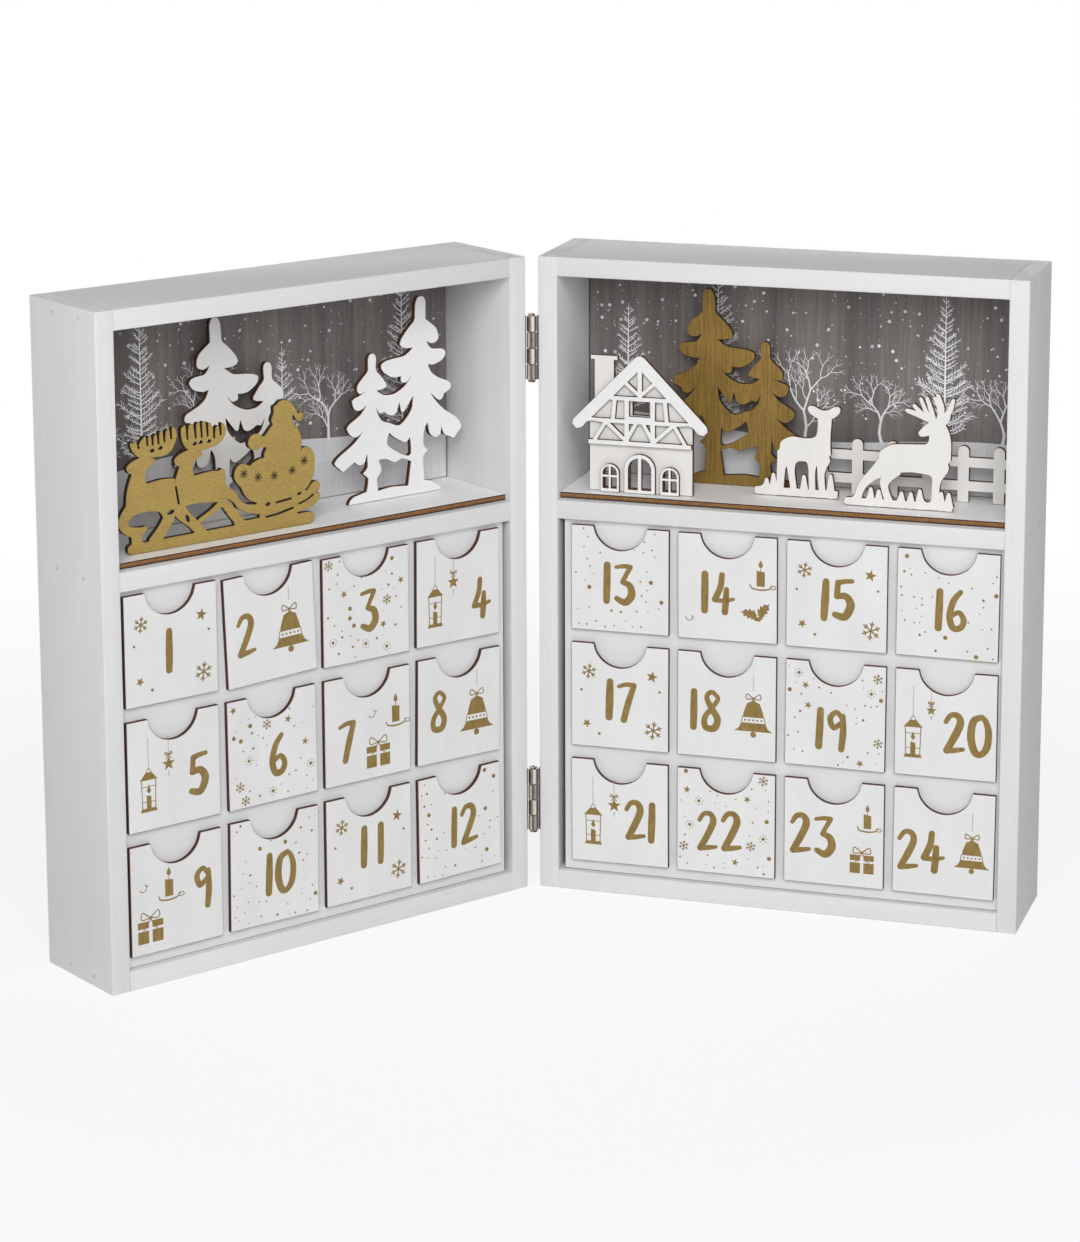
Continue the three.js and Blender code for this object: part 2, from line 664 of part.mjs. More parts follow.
function antlers() {
  return [
    strip([[41.4, 40.6], [35.5, 43], [28.4, 45.2]], [3.2, 3, 2]),
    strip([[36, 43.2], [31.6, 47.6]], [2.4, 1.8]),
    strip([[38, 42.8], [34.6, 50.8]], [2.4, 1.8]),
    strip([[40.4, 42], [39, 47], [37.4, 51.4]], [2.6, 2.4, 1.8]),
    strip([[43, 41], [44, 47], [42.4, 52.8]], [3.2, 3, 2]),
    strip([[43.6, 46], [40.8, 51.6]], [2.2, 1.6]),
    strip([[44.2, 41.6], [47.8, 46.2], [49.4, 51]], [3, 2.8, 1.8]),
  ];
}

function stag(side) {
  const shapes = [
    strip([[21.6, 22.6], [31, 23.4], [41.4, 23]], [13.4, 13, 14.4]),
    strip([[42.6, 24], [43.6, 32], [42.4, 38]], [12.4, 10.4, 8.4]),
    strip([[35.4, 35.2], [39.6, 37.6], [43, 39]], [3.8, 6, 7]),
    strip([[44.6, 40.2], [47.2, 43]], [3.6, 2.8]),
    ...antlers(),
    strip([[18.6, 19], [12.4, 14], [8, 9], [6.2, 3]], [9, 5, 3.6, 3.6]),
    strip([[22.6, 18], [18.8, 12.4], [18.6, 8.6], [20.6, 3]], [8, 4.6, 3.4, 3.8]),
    strip([[44, 20], [42.2, 13], [41.8, 3]], [9, 3.8, 3.6]),
    ...ground(49.9, 3.6, [
      [12.3, 9],
      [16, 8.2],
      [26.4, 8],
      [30.7, 8],
      [34.8, 9.6],
      [44.6, 9],
      [48, 8.8],
    ]),
  ];
  const x = spanOf(side).right - STAG_FROM_WALL;
  const front = SHELF_SETBACK + STAG_FROM_EDGE;
  return part('stag', stand(figure(shapes, [], FIGURE_PLY), STAG_HEIGHT, RIGHT, x, front), whitePly());
}

// A picket fence that ends at the outer side, its pickets counted from there
function fence(side, left) {
  const right = spanOf(side).right - JOINT_GAP;
  const half = FENCE_PICKET / 2;
  const shapes = [0.2, 0.62].map((share) => {
    return rectangle(left, right, FENCE_HEIGHT * share, FENCE_HEIGHT * share + FENCE_RAIL);
  });
  for (let x = right - FENCE_END - half; x - half > left; x -= FENCE_PITCH) {
    shapes.push(arch(x, 0, half, FENCE_HEIGHT));
  }
  const geometry = figure(shapes, [], FIGURE_PLY);
  const front = backFront - FENCE_FROM_BACK - FIGURE_PLY;
  return part('fence', stand(geometry, FENCE_HEIGHT, RIGHT, right, front), whitePly());
}

// The house, drawn in squares about its middle
const ROOF_TOP = [0, 61.8];
const ROOF_END = [29.7, 31.6];
const ROOF_BAND = 5.5;
const WALL_HALF = 24.6;
const DOOR = { x: 0, half: 7.4, top: 18.5, frame: 1.9, mullion: 1.8 };
const WINDOWS = [-14.3, 14.3].map((x) => ({ x, half: 4.5, top: 13.2, frame: 1.15, mullion: 1.2 }));
const TRANSOM = 7.5;
const SILL = 1.7;
const houseSquare = HOUSE_HEIGHT / (ROOF_TOP[1] + ROOF_BAND / 2);

function roofLine(x) {
  const slope = (ROOF_TOP[1] - ROOF_END[1]) / ROOF_END[0];
  return ROOF_TOP[1] - Math.abs(x) * slope;
}

function glass({ x, half, top, frame }) {
  return arch(x, SILL, half - frame, top - frame);
}

function houseWall() {
  const eaves = roofLine(WALL_HALF);
  const gable = [[-WALL_HALF, 0], [WALL_HALF, 0], [WALL_HALF, eaves], ROOF_TOP, [-WALL_HALF, eaves]];
  const chimney = rectangle(-22.2, -12.9, 34, 62);
  const cap = rectangle(-24, -11.2, 61.4, 63.4);
  const attic = rectangle(-4, 4, 36.3, 43.6);
  return figure([polygon(gable), chimney, cap], [attic, glass(DOOR), ...WINDOWS.map(glass)], FIGURE_PLY);
}

// Roof boards and half-timbering, cut in one piece and glued on the wall
function houseTimbers() {
  const shapes = [
    bar([-26, 33.5], [26, 33.5], 2.1),
    bar([-15, 44.2], [15, 44.2], 2.1),
    bar([-WALL_HALF, 23.2], [WALL_HALF, 23.2], 2.2),
    bar([-6.4, 35.2], [6.4, 35.2], 1.6),
    bar([0, 44], [0, 60], 2.3),
  ];
  for (const s of [-1, 1]) {
    shapes.push(
      strip([[s * ROOF_END[0], ROOF_END[1]], ROOF_TOP], [ROOF_BAND, ROOF_BAND]),
      bar([s * 6.2, 23], [s * 6.2, 44.5], 2.4),
      bar([s * 12.9, 33.6], [s * 11.8, 45], 2.1),
      bar([s * 8, 52.6], [s * 0.6, 46.2], 1.9),
      bar([s * 16.2, 33], [s * 22, 23.4], 1.9),
      bar([s * 16.2, 33], [s * 6.8, 24.6], 1.9),
      bar([s * 1.6, 33], [s * 6.4, 24.4], 1.9),
    );
  }
  return figure(shapes, [], HOUSE_TRIM);
}

// The door and window frames: an arched plate with its panes cut out
function glazing(opening) {
  const { x, half, top, mullion } = opening;
  const bars = [bar([x, 0], [x, top], mullion)];
  if (opening !== DOOR) {
    bars.push(bar([x - half, TRANSOM], [x + half, TRANSOM], mullion));
  }
  const ring = figure([arch(x, 0, half, top)], [glass(opening)], HOUSE_TRIM);
  return join([ring, ...bars.map((shape) => sheet(shape, 0, HOUSE_TRIM))]);
}

function house(side) {
  const x = spanOf(side).left + HOUSE_FROM_WALL + (ROOF_END[0] + ROOF_BAND / 2) * houseSquare;
  const front = SHELF_SETBACK + HOUSE_FROM_EDGE;
  const place = (name, geometry, y) => {
    geometry.scale(houseSquare, 1, houseSquare);
    geometry.translate(x, y, shelfTop + JOINT_GAP);
    return part(name, geometry, whitePly());
  };
  const trimFront = front - JOINT_GAP - HOUSE_TRIM;
  return [
    place('house_wall', houseWall(), front),
    place('house_timbers', houseTimbers(), trimFront),
    place('house_door', glazing(DOOR), trimFront),
    place('house_window_left', glazing(WINDOWS[0]), trimFront),
    place('house_window_right', glazing(WINDOWS[1]), trimFront),
  ];
}

function leftScene() {
  const { left, right } = spanOf(LEFT);
  const farLeft = left + FAR_TREES_FROM_WALL;
  const nearRight = right - NEAR_TREES_FROM_WALL;
  return [
    sleighTeam(LEFT),
    trees('white_trees_far', true, LEFT, farLeft, FAR_TREES_FROM_BACK, whitePly()),
    trees('white_trees_near', false, RIGHT, nearRight, NEAR_TREES_FROM_BACK, whitePly()),
  ];
}

function rightScene() {
  const goldLeft = spanOf(RIGHT).left + GOLD_TREES_FROM_WALL;
  const goldTrees = trees('gold_trees', true, LEFT, goldLeft, GOLD_TREES_FROM_BACK, gold());
  goldTrees.geometry.computeBoundingBox();
  const fenceLeft = goldTrees.geometry.boundingBox.max.x + FENCE_FROM_TREES;
  return [goldTrees, ...house(RIGHT), doe(RIGHT), stag(RIGHT), fence(RIGHT, fenceLeft)];
}

// A hinge leaf: its plate lies on the hinge side of its case and its own knuckles round the pin.
// The frame of a hinge has the pin at x = 0, y = 0 and its foot at z = 0.
function hingeLeaf(side) {
  const pitch = HINGE_LENGTH / KNUCKLES;
  const plateNear = side * (pinOffset - JOINT_GAP - HINGE_PLATE);
  const plateFar = side * (pinOffset - JOINT_GAP);
  const x0 = Math.min(plateNear, plateFar);
  const x1 = Math.max(plateNear, plateFar);
  const plateFront = knuckleRadius + KNUCKLE_GAP;
  const pieces = [block(x0, x1, plateFront, HINGE_PLATE_DEPTH, 0, HINGE_LENGTH)];
  for (let i = side === RIGHT ? 0 : 1; i < KNUCKLES; i += 2) {
    const low = i * pitch + (i === 0 ? 0 : KNUCKLE_GAP / 2);
    const high = (i + 1) * pitch - (i === KNUCKLES - 1 ? 0 : KNUCKLE_GAP / 2);
    const barrel = extruded(disc([0, 0], knuckleRadius), high - low, BARREL_STEPS);
    barrel.translate(0, 0, low);
    pieces.push(barrel, block(x0, x1, 0, HINGE_PLATE_DEPTH, low, high));
  }
  const bore = extruded(disc([0, 0], PIN_RADIUS + PIN_PLAY), HINGE_LENGTH * 2, BARREL_STEPS);
  bore.translate(0, 0, -HINGE_LENGTH / 2);
  const holes = [-1, 1].map((end) => {
    const hole = extruded(disc([0, 0], SCREW_HOLE_RADIUS), 4 * HINGE_PLATE, BARREL_STEPS);
    hole.translate(0, 0, -2 * HINGE_PLATE);
    hole.rotateY(Math.PI / 2);
    const y = (plateFront + HINGE_PLATE_DEPTH) / 2;
    hole.translate((x0 + x1) / 2, y, (HINGE_LENGTH + end * SCREW_HOLE_PITCH) / 2);
    return hole;
  });
  return cut(join(pieces), [bore, ...holes]);
}

// The pin runs through all the knuckles and is headed over at both ends
function hingePin() {
  const head = knuckleRadius - KNUCKLE_GAP;
  const low = -JOINT_GAP;
  const high = HINGE_LENGTH + JOINT_GAP;
  const profile = [
    [0, low - PIN_HEAD],
    [head / 2, low - PIN_HEAD],
    [head, low - PIN_HEAD / 2],
    [head, low],
    [PIN_RADIUS, low],
    [PIN_RADIUS, high],
    [head, high],
    [head, high + PIN_HEAD / 2],
    [head / 2, high + PIN_HEAD],
    [0, high + PIN_HEAD],
  ];
  const pin = new THREE.LatheGeometry(profile.map(vector), 4 * BARREL_STEPS);
  pin.rotateX(Math.PI / 2);
  return pin;
}

function hingePieces(name, foot) {
  const place = (label, geometry) => {
    const mesh = part(`${name}_${label}`, geometry, nickel());
    mesh.position.z = foot;
    return mesh;
  };
  return {
    leftLeaf: place('left_leaf', hingeLeaf(LEFT)),
    rightLeaf: place('right_leaf', hingeLeaf(RIGHT)),
    pin: place('pin', hingePin()),
  };
}

// A case swings about the hinge pins: its own frame lies beside and behind them
function hingedCase(side, name, scene, hingeLeaves) {
  const places = drawerPlaces(side);
  const first = side === RIGHT ? places.length + 1 : 1;
  const body = new THREE.Group();
  body.position.set(side * pinOffset, PIN_PROUD, 0);
  body.add(...caseBoards(side, name), drawerFace(side, name), drawerCrate(side, name), ...scene);
  body.add(...places.map((place, i) => drawer(first + i, place)));
  const swing = new THREE.Group();
  swing.rotation.z = THREE.MathUtils.degToRad((-side * (180 - OPEN_ANGLE)) / 2);
  swing.add(body, ...hingeLeaves);
  return swing;
}

function calendar() {
  const upper = hingePieces('upper_hinge', CASE_HEIGHT - HINGE_FROM_END - HINGE_LENGTH / 2);
  const lower = hingePieces('lower_hinge', HINGE_FROM_END - HINGE_LENGTH / 2);
  const whole = new THREE.Group();
  whole.add(
    hingedCase(LEFT, 'left', leftScene(), [upper.leftLeaf, lower.leftLeaf]),
    hingedCase(RIGHT, 'right', rightScene(), [upper.rightLeaf, lower.rightLeaf]),
    upper.pin,
    lower.pin,
  );
  const box = new THREE.Box3().setFromObject(whole, true);
  whole.position.y = -(box.min.y + box.max.y) / 2;
  return whole;
}

export default calendar();
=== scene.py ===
"""The looks of a folding advent calendar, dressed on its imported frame. Metres, +Z up."""

import json
import math
import random

import bmesh
import bpy
from mathutils import Matrix, Vector
from mathutils.geometry import delaunay_2d_cdt, tessellate_polygon


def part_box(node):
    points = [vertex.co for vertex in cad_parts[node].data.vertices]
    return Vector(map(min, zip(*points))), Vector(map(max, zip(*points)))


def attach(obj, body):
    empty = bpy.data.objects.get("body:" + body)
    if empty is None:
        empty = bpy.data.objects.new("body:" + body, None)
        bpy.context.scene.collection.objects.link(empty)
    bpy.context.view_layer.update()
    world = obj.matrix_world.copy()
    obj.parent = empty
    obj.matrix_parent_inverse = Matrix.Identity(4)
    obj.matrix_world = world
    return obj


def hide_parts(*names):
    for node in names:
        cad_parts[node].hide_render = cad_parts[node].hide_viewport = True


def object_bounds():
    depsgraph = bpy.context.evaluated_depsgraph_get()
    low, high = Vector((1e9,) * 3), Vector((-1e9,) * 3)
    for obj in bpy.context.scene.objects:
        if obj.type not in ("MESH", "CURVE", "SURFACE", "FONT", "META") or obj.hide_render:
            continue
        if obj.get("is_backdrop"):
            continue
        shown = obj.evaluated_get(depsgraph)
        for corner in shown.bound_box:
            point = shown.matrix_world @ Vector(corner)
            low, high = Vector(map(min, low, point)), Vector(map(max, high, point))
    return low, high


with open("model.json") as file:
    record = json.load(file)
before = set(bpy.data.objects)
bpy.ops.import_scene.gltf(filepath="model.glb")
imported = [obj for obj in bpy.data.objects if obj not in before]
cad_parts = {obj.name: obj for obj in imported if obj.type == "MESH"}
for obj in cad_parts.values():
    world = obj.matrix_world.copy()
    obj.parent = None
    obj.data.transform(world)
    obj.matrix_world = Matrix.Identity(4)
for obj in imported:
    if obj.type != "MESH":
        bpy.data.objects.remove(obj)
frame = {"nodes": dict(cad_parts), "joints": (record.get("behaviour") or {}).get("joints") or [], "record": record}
cad_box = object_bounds()

MM = 0.001

# The photograph's view, with the camera's place in the row frame
CAMERA_PLACE = (-0.2755, -1.577, 0.5722)
CAMERA_TURN = 10.93
CAMERA_DOWN = 10.93
CAMERA_LENS = 105.39
CAMERA_SHIFT = (-0.0536, -0.22)

# Boards and sheets
BOARD_EDGE = 0.65 * MM
INNER_EDGE = 0.4 * MM
UPRIGHT_END_EDGE = 0.455 * MM
LEVEL_END_EDGE = 0.04 * MM
JOINT_CLOSE = 0.18 * MM
SHELF_EDGE = 0.1 * MM
PANEL_RIM = 0.5 * MM
SHEET_EDGE = 0.12 * MM
PLATE_EDGE = 0.17 * MM

# Nails: how far back they sit, and their profile as shares of the radius with rises in mm
NAIL_RADIUS = 0.55 * MM
NAIL_DEPTHS = (14.5 * MM, 36 * MM)
NAIL_PROFILE = ((0.45, 0.0), (0.75, -0.01), (1.0, 0.06), (1.35, 0.04), (1.6, -0.02))

# Outlines: turns in degrees, and the longest side of an arc
SHARP_TURN = 32
CORNER_TURN = 52
SLIGHT_TURN = 20
FLAT_TURN = 2
STRAIGHT_TURN = 0.6
STRAIGHT_RATIO = 2.5
ARC_SPAN = 5 * MM
WELD = 0.002 * MM
FRONT_LAYER = 0.02 * MM
SOFT_REACH = 2 * MM
SOFT_STEPS = 40
SOFT_SPACING = 0.4 * MM
SOFT_ROUNDS = 30
SOFT_SHARE = 0.5
ROUND_END_TURN = 105
ROUND_END_FADE = 35

# Figures: the doe's forehead in squares of her pattern, and the antlers of the team
DEER_SQUARES = 43.3
FOREHEAD = (29.2, 36.6)
FOREHEAD_DEPTH = 4.6
FOREHEAD_TOP = 2.5
ANTLER_SPAN = 58 * MM
ANTLER_FLOOR = 46 * MM
TINE_TURN = 50
TINE_REACH = 5 * MM
TINE_WIDTH = 1.3 * MM
TINE_SINK = 1.5 * MM
TINE_LEAN = 0.03
TINE_STEPS = 10

# Hinges
KNUCKLE_RADIUS = 2.3 * MM
KNUCKLE_BORE = 1.2 * MM
KNUCKLE_COUNT = 4
KNUCKLE_GAP = 0.25 * MM
PIN_RADIUS = 1.1 * MM
PIN_BORE = 0.02 * MM
PIN_PLAY = 0.2 * MM
PIN_HEAD_RADIUS = 1.9 * MM
PIN_HEAD_HEIGHT = 0.7 * MM
PIN_HEAD_EDGE = 0.3 * MM
BARREL_EDGE = 0.18 * MM
BARREL_SIDES = 40
HINGE_PLATE = 0.8 * MM
HINGE_PLATE_DEPTH = 12 * MM
HINGE_PLATE_EDGE = 0.15 * MM
HINGE_PLATE_FOOT = 0.1 * MM
HINGE_CLEARANCE = 0.2 * MM
SCREW_PITCH = 15 * MM
SCREW_DEPTH = 7.3 * MM
SCREW_RADIUS = 1.25 * MM
SCREW_PROFILE = ((0.28, 0.30), (0.62, 0.26), (0.9, 0.12), (1.0, -0.02))
SCREW_CROSS = 0.34

# Drawers
NOTCH_WIDTH = 25.5 * MM
NOTCH_FLOOR = 1.5 * MM
PLATE_BACK = 2.6 * MM
TRAY_START = 3.5 * MM
TRAY_WALL = 2 * MM
TRAY_EDGE = 0.04 * MM
TRAY_GAP = 0.02 * MM
TRAY_FINGERS = 5
PRINT_PROUD = 0.03 * MM
PRINT_STEP = 0.0005 * MM
PRINT_LEVELS = 40
PRINT_RISE = 8 * PRINT_STEP


def span(points):
    """The lowest and the highest corner round some points"""
    return [Vector([pick(p[i] for p in points) for i in range(3)]) for pick in (min, max)]


class Case:
    """One case and its own frame: x from its hinge-side face, y back from its front, z up."""

    def __init__(self, name, side):
        self.name = name
        self.side = side
        self.body = f"{name}_case"
        fold = next(j for j in frame["joints"] if j["name"] == "fold")
        yaw = -side * (180 + fold["range_deg"][0]) / 2
        turn = Matrix.Translation((*fold["pos_m"][:2], 0)) @ Matrix.Rotation(math.radians(yaw), 4, "Z")
        points = [turn.inverted() @ v.co for v in frame["nodes"][f"{name}_hinge_side"].data.vertices]
        near = min((p.x for p in points), key=abs)
        self.to_row = turn @ Matrix.Translation((near, min(p.y for p in points), 0))
        self.to_case = self.to_row.inverted()

    def points(self, node):
        return [self.to_case @ v.co for v in frame["nodes"][node].data.vertices]

    def box(self, node):
        return span(self.points(node))


LEFT = Case("left", -1)
RIGHT = Case("right", 1)
CASES = (LEFT, RIGHT)

# Materials
def colour(red, green, blue):
    """A colour as read off a screen, 0 to 255, in linear light"""
    shares = (red / 255, green / 255, blue / 255)
    return tuple(c / 12.92 if c <= 0.04045 else ((c + 0.055) / 1.055) ** 2.4 for c in shares)


def shade(value):
    """A link or a colour as an input takes it. A plain number stands for a grey."""
    if isinstance(value, bpy.types.NodeSocket):
        return value
    return (*(value if isinstance(value, tuple) else (value,) * 3), 1.0)


class Nodes:
    """Adds nodes to a tree with their inputs by name. An output given as an input is linked to it."""

    def __init__(self, tree):
        self.tree = tree

    def fill(self, node, inputs):
        for key, value in inputs.items():
            socket = node.inputs[key]
            if isinstance(value, bpy.types.NodeSocket):
                self.tree.links.new(value, socket)
            else:
                socket.default_value = value

    def add(self, kind, inputs=None, **settings):
        node = self.tree.nodes.new("ShaderNode" + kind)
        for key, value in settings.items():
            setattr(node, key, value)
        self.fill(node, inputs or {})
        return node

    def maths(self, operation, a, b, clamp=False):
        return self.add("Math", {0: a, 1: b}, operation=operation, use_clamp=clamp).outputs[0]

    def seen(self):
        """1 for what the camera sees straight, in a gloss or through glass, else 0"""
        rays = self.add("LightPath").outputs
        straight = self.maths("MAXIMUM", rays["Is Camera Ray"], rays["Is Glossy Ray"])
        return self.maths("MAXIMUM", straight, rays["Is Transmission Ray"])


MATERIALS = {}


class Material(Nodes):
    """A material under its name, with helpers for grained looks"""

    def __init__(self, name):
        self.material = MATERIALS[name] = bpy.data.materials.new(name)
        self.material.use_nodes = True
        super().__init__(self.material.node_tree)
        self.surface = self.tree.nodes["Principled BSDF"]

    def set(self, **inputs):
        self.fill(self.surface, {key.replace("_", " "): value for key, value in inputs.items()})

    def place(self):
        return self.add("Attribute", attribute_name="Grain").outputs["Vector"]

    def grain(self, along, across, detail=4.0, offset=0.0):
        """Noise drawn out along the wood: lengths of its streaks in metres"""
        spread = self.add("Mapping", {
            "Vector": self.place(),
            "Location": (offset, offset, offset),
            "Scale": (1 / along, 1 / across, 1 / across),
        }).outputs[0]
        noise = self.add("TexNoise", {"Vector": spread, "Scale": 1.0, "Detail": detail, "Roughness": 0.6})
        return noise.outputs["Factor" if "Factor" in noise.outputs else "Fac"]

    def depth(self):
        """How far a point lies behind the front of its piece, in metres"""
        return self.add("SeparateXYZ", {0: self.place()}).outputs["Z"]

    def ramp(self, value, stops):
        node = self.add("ValToRGB", {0: value})
        elements = node.color_ramp.elements
        while len(elements) < len(stops):
            elements.new(0.5)
        for element, (position, tone) in zip(elements, stops):
            element.position = position
            element.color = shade(tone)
        return node.outputs[0]

    def fade(self, value, low, high, start=0.3, end=0.7):
        """From the low tone to the high one, as the value goes from start to end"""
        return self.ramp(value, [(start, low), (end, high)])

    def mix(self, factor, a, b, blend="MIX"):
        inputs = {0: factor, 6: shade(a), 7: shade(b)}
        return self.add("Mix", inputs, data_type="RGBA", blend_type=blend).outputs[2]

    def stain(self, factor, base, value, low, high, start, end, blend="MULTIPLY"):
        """A base with a fade laid over it"""
        return self.mix(factor, base, self.fade(value, low, high, start, end), blend)

    def bump(self, height, strength, distance, normal=None):
        inputs = {"Height": height, "Strength": strength, "Distance": distance}
        if normal:
            inputs["Normal"] = normal
        return self.add("Bump", inputs).outputs[0]


def white_paint():
    """Satin paint over solid wood, brushed along the grain"""
    s = Material("white_paint")
    broad = s.grain(0.12, 0.03, 3.0)
    streaks = s.grain(0.05, 0.0009, 5.0, 3.0)
    patches = s.fade(broad, colour(222, 222, 224), colour(230, 230, 231))
    lined = s.stain(0.3, patches, streaks, colour(219, 219, 221), colour(231, 231, 231), 0.35, 0.62, "MIX")
    specks = s.fade(s.grain(0.0035, 0.0022, 2.0, 7.0), 0, 1, 0.745, 0.775)
    worn = s.mix(s.maths("MULTIPLY", specks, 0.3), lined, colour(168, 163, 158))
    relief = s.bump(streaks, 0.14, 0.1 * MM)
    peel = s.bump(s.grain(0.0016, 0.0011, 3.0, 1.0), 0.22, 0.09 * MM, relief)
    s.set(Base_Color=worn, Roughness=s.fade(broad, 0.56, 0.66), Normal=peel, Specular_IOR_Level=0.4)


def white_sheet(name, dull, bright):
    """Matte paint on the face of thin plywood"""
    s = Material(name)
    pores = s.grain(0.006, 0.00035, 5.0, 2.0)
    base = s.fade(s.grain(0.05, 0.02, 3.0), dull, bright)
    pored = s.stain(0.5, base, pores, colour(219, 218, 217), colour(236, 236, 236), 0.3, 0.45, "DARKEN")
    s.set(Base_Color=pored, Roughness=0.62, Normal=s.bump(pores, 0.25, 0.06 * MM))


def white_lacquer():
    """Smooth paint on the shelf, whiter than the boards' paint as painted light: the extra brightness stands in
    for the light that falls on the shelf
    """
    s = Material("white_lacquer")
    haze = s.grain(0.03, 0.012, 3.0)
    s.set(Base_Color=s.fade(haze, colour(249, 249, 250), colour(252, 252, 252)))
    s.set(Roughness=s.fade(haze, 0.42, 0.52))
    s.set(Normal=s.bump(s.grain(0.004, 0.003, 3.0, 4.0), 0.1, 0.05 * MM))


def burnt_edge(name, thickness, scorch, core, rims, ply=None):
    """A laser-cut edge of plywood: scorched at both faces, its plies run round it"""
    s = Material(name)
    stops = [(0.0, rims), (0.12, rims), (0.3, scorch), (0.6, core), (1.0, scorch)]
    if ply:
        stops = [(0.0, rims), (0.07, scorch), (0.2, scorch), (0.28, ply), (0.7, core), (0.78, scorch),
                 (1.0, rims)]
    layers = s.ramp(s.maths("DIVIDE", s.depth(), thickness, clamp=True), stops)
    soot = s.grain(0.0012, 0.0009, 4.0, 5.0)
    sooty = s.stain(0.7, layers, soot, (0.35, 0.33, 0.32), 1, 0.3, 0.65)
    s.set(Base_Color=sooty, Roughness=0.75, Normal=s.bump(soot, 0.3, 0.1 * MM))


def gold_paint(name, bright, dull, streaking):
    """Metallic paint that sinks into the grain of its plywood"""
    s = Material(name)
    pores = s.grain(0.0028, 0.00028, 6.0, 2.0)
    weave = s.grain(0.0006, 0.0006, 3.0, 6.0)
    streaks = s.grain(0.022, 0.0008, 5.0, 12.0)
    tone = s.mix(s.grain(0.03, 0.012, 3.0, 9.0), bright, dull)
    tone = s.stain(0.8, tone, pores, (0.5, 0.46, 0.4), (1.06, 1.05, 1.03), 0.3, 0.52)
    tone = s.stain(0.45, tone, weave, (0.66, 0.62, 0.55), (1.25, 1.22, 1.15), 0.32, 0.66)
    tone = s.stain(streaking, tone, streaks, (0.5, 0.44, 0.34), (1.08, 1.07, 1.04), 0.36, 0.58)
    s.set(Base_Color=tone, Metallic=0.35, Normal=s.bump(pores, 0.4, 0.08 * MM))
    s.set(Roughness=s.fade(weave, 0.4, 0.62))


def gold_ink():
    """Flat gold print, a little patchy where the pad pressed less"""
    s = Material("gold_ink")
    tone = s.fade(s.grain(0.004, 0.0016, 4.0, 4.0), colour(126, 101, 46), colour(151, 126, 68))
    pored = s.stain(0.35, tone, s.grain(0.004, 0.0003, 4.0, 2.0), 0.72, 1, 0.3, 0.5)
    s.set(Base_Color=pored, Metallic=0.15, Roughness=0.5)


def panel_print():
    """Dark boards with upright grain, and what is printed on them, as white as the Ink attribute says"""
    s = Material("panel_print")
    planks = s.grain(0.5, 0.018, 2.0, 11.0)
    bands = s.grain(0.09, 0.0022, 5.0)
    fine = s.grain(0.018, 0.00032, 5.0, 3.0)
    stops = [(0.3, colour(96, 89, 86)), (0.5, colour(120, 115, 114)), (0.72, colour(134, 126, 122))]
    wood = s.stain(0.75, s.ramp(planks, stops), bands, (0.62, 0.6, 0.6), (1.12, 1.1, 1.08), 0.3, 0.66)
    wood = s.stain(0.8, wood, fine, 0.62, 1.1, 0.3, 0.62)
    ink = s.add("Attribute", attribute_name="Ink").outputs["Color"]
    strength = s.add("SeparateColor", {0: ink}).outputs[0]
    worn = s.maths("MULTIPLY", strength, s.fade(fine, 0.78, 1, 0.3, 0.5))
    s.set(Base_Color=s.mix(worn, wood, colour(247, 248, 252)), Roughness=0.55)
    s.set(Normal=s.bump(fine, 0.25, 0.08 * MM))


def bare_ply():
    """Unpainted birch plywood"""
    s = Material("bare_ply")
    fine = s.grain(0.012, 0.0004, 5.0, 3.0)
    tone = s.fade(s.grain(0.12, 0.006, 3.0), colour(206, 176, 132), colour(224, 198, 158))
    s.set(Base_Color=s.stain(0.6, tone, fine, (0.78, 0.74, 0.68), 1, 0.3, 0.6))
    s.set(Roughness=0.7, Normal=s.bump(fine, 0.3, 0.1 * MM))


def nickel():
    """Bright plated steel with drawn lines along the barrel and handling marks, its colour laid in light and dark
    bands by the way the surface faces, as painted reflections
    """
    s = Material("nickel")
    fine = s.grain(0.02, 0.0002, 4.0, 2.0)
    marks = s.grain(0.003, 0.002, 3.0, 5.0)
    # Painted reflections: which way the surface faces picks light and dark bands from the ramp below, wobbled a
    # little by the handling marks
    painted_reflection_side = s.add("SeparateXYZ", {0: s.add("TexCoord").outputs["Normal"]}).outputs["X"]
    share = s.maths("ADD", s.maths("MULTIPLY", painted_reflection_side, 0.5), 0.5)
    share = s.maths("ADD", share, s.maths("MULTIPLY", s.maths("SUBTRACT", marks, 0.5), 0.1))
    stops = [(0.0, colour(70, 62, 54)), (0.14, colour(150, 140, 128)), (0.3, colour(232, 228, 220)),
             (0.44, colour(196, 186, 172)), (0.53, colour(92, 76, 62)), (0.66, colour(58, 48, 42)),
             (0.8, colour(168, 158, 146)), (1.0, colour(84, 76, 68))]
    s.set(Base_Color=s.mix(s.maths("MULTIPLY", marks, 0.3), s.ramp(share, stops), colour(186, 180, 172)))
    s.set(Metallic=1.0, Roughness=s.fade(fine, 0.2, 0.36), Normal=s.bump(fine, 0.12, 0.04 * MM))


def nail_paint():
    """The greyish dents of painted-over pins"""
    s = Material("nail_paint")
    tone = s.fade(s.grain(0.0008, 0.0008), colour(148, 144, 140), colour(214, 213, 212), 0.35, 0.65)
    s.set(Base_Color=tone, Roughness=0.6, Normal=s.bump(s.grain(0.0006, 0.0006, 2.0, 3.0), 0.3, 0.06 * MM))


def dark_wood(name, along, dark, light, roughness):
    """Burnt wood, or a dark rim painted as the shade in a gap"""
    s = Material(name)
    s.set(Base_Color=s.fade(s.grain(along, 0.001), dark, light), Roughness=roughness)


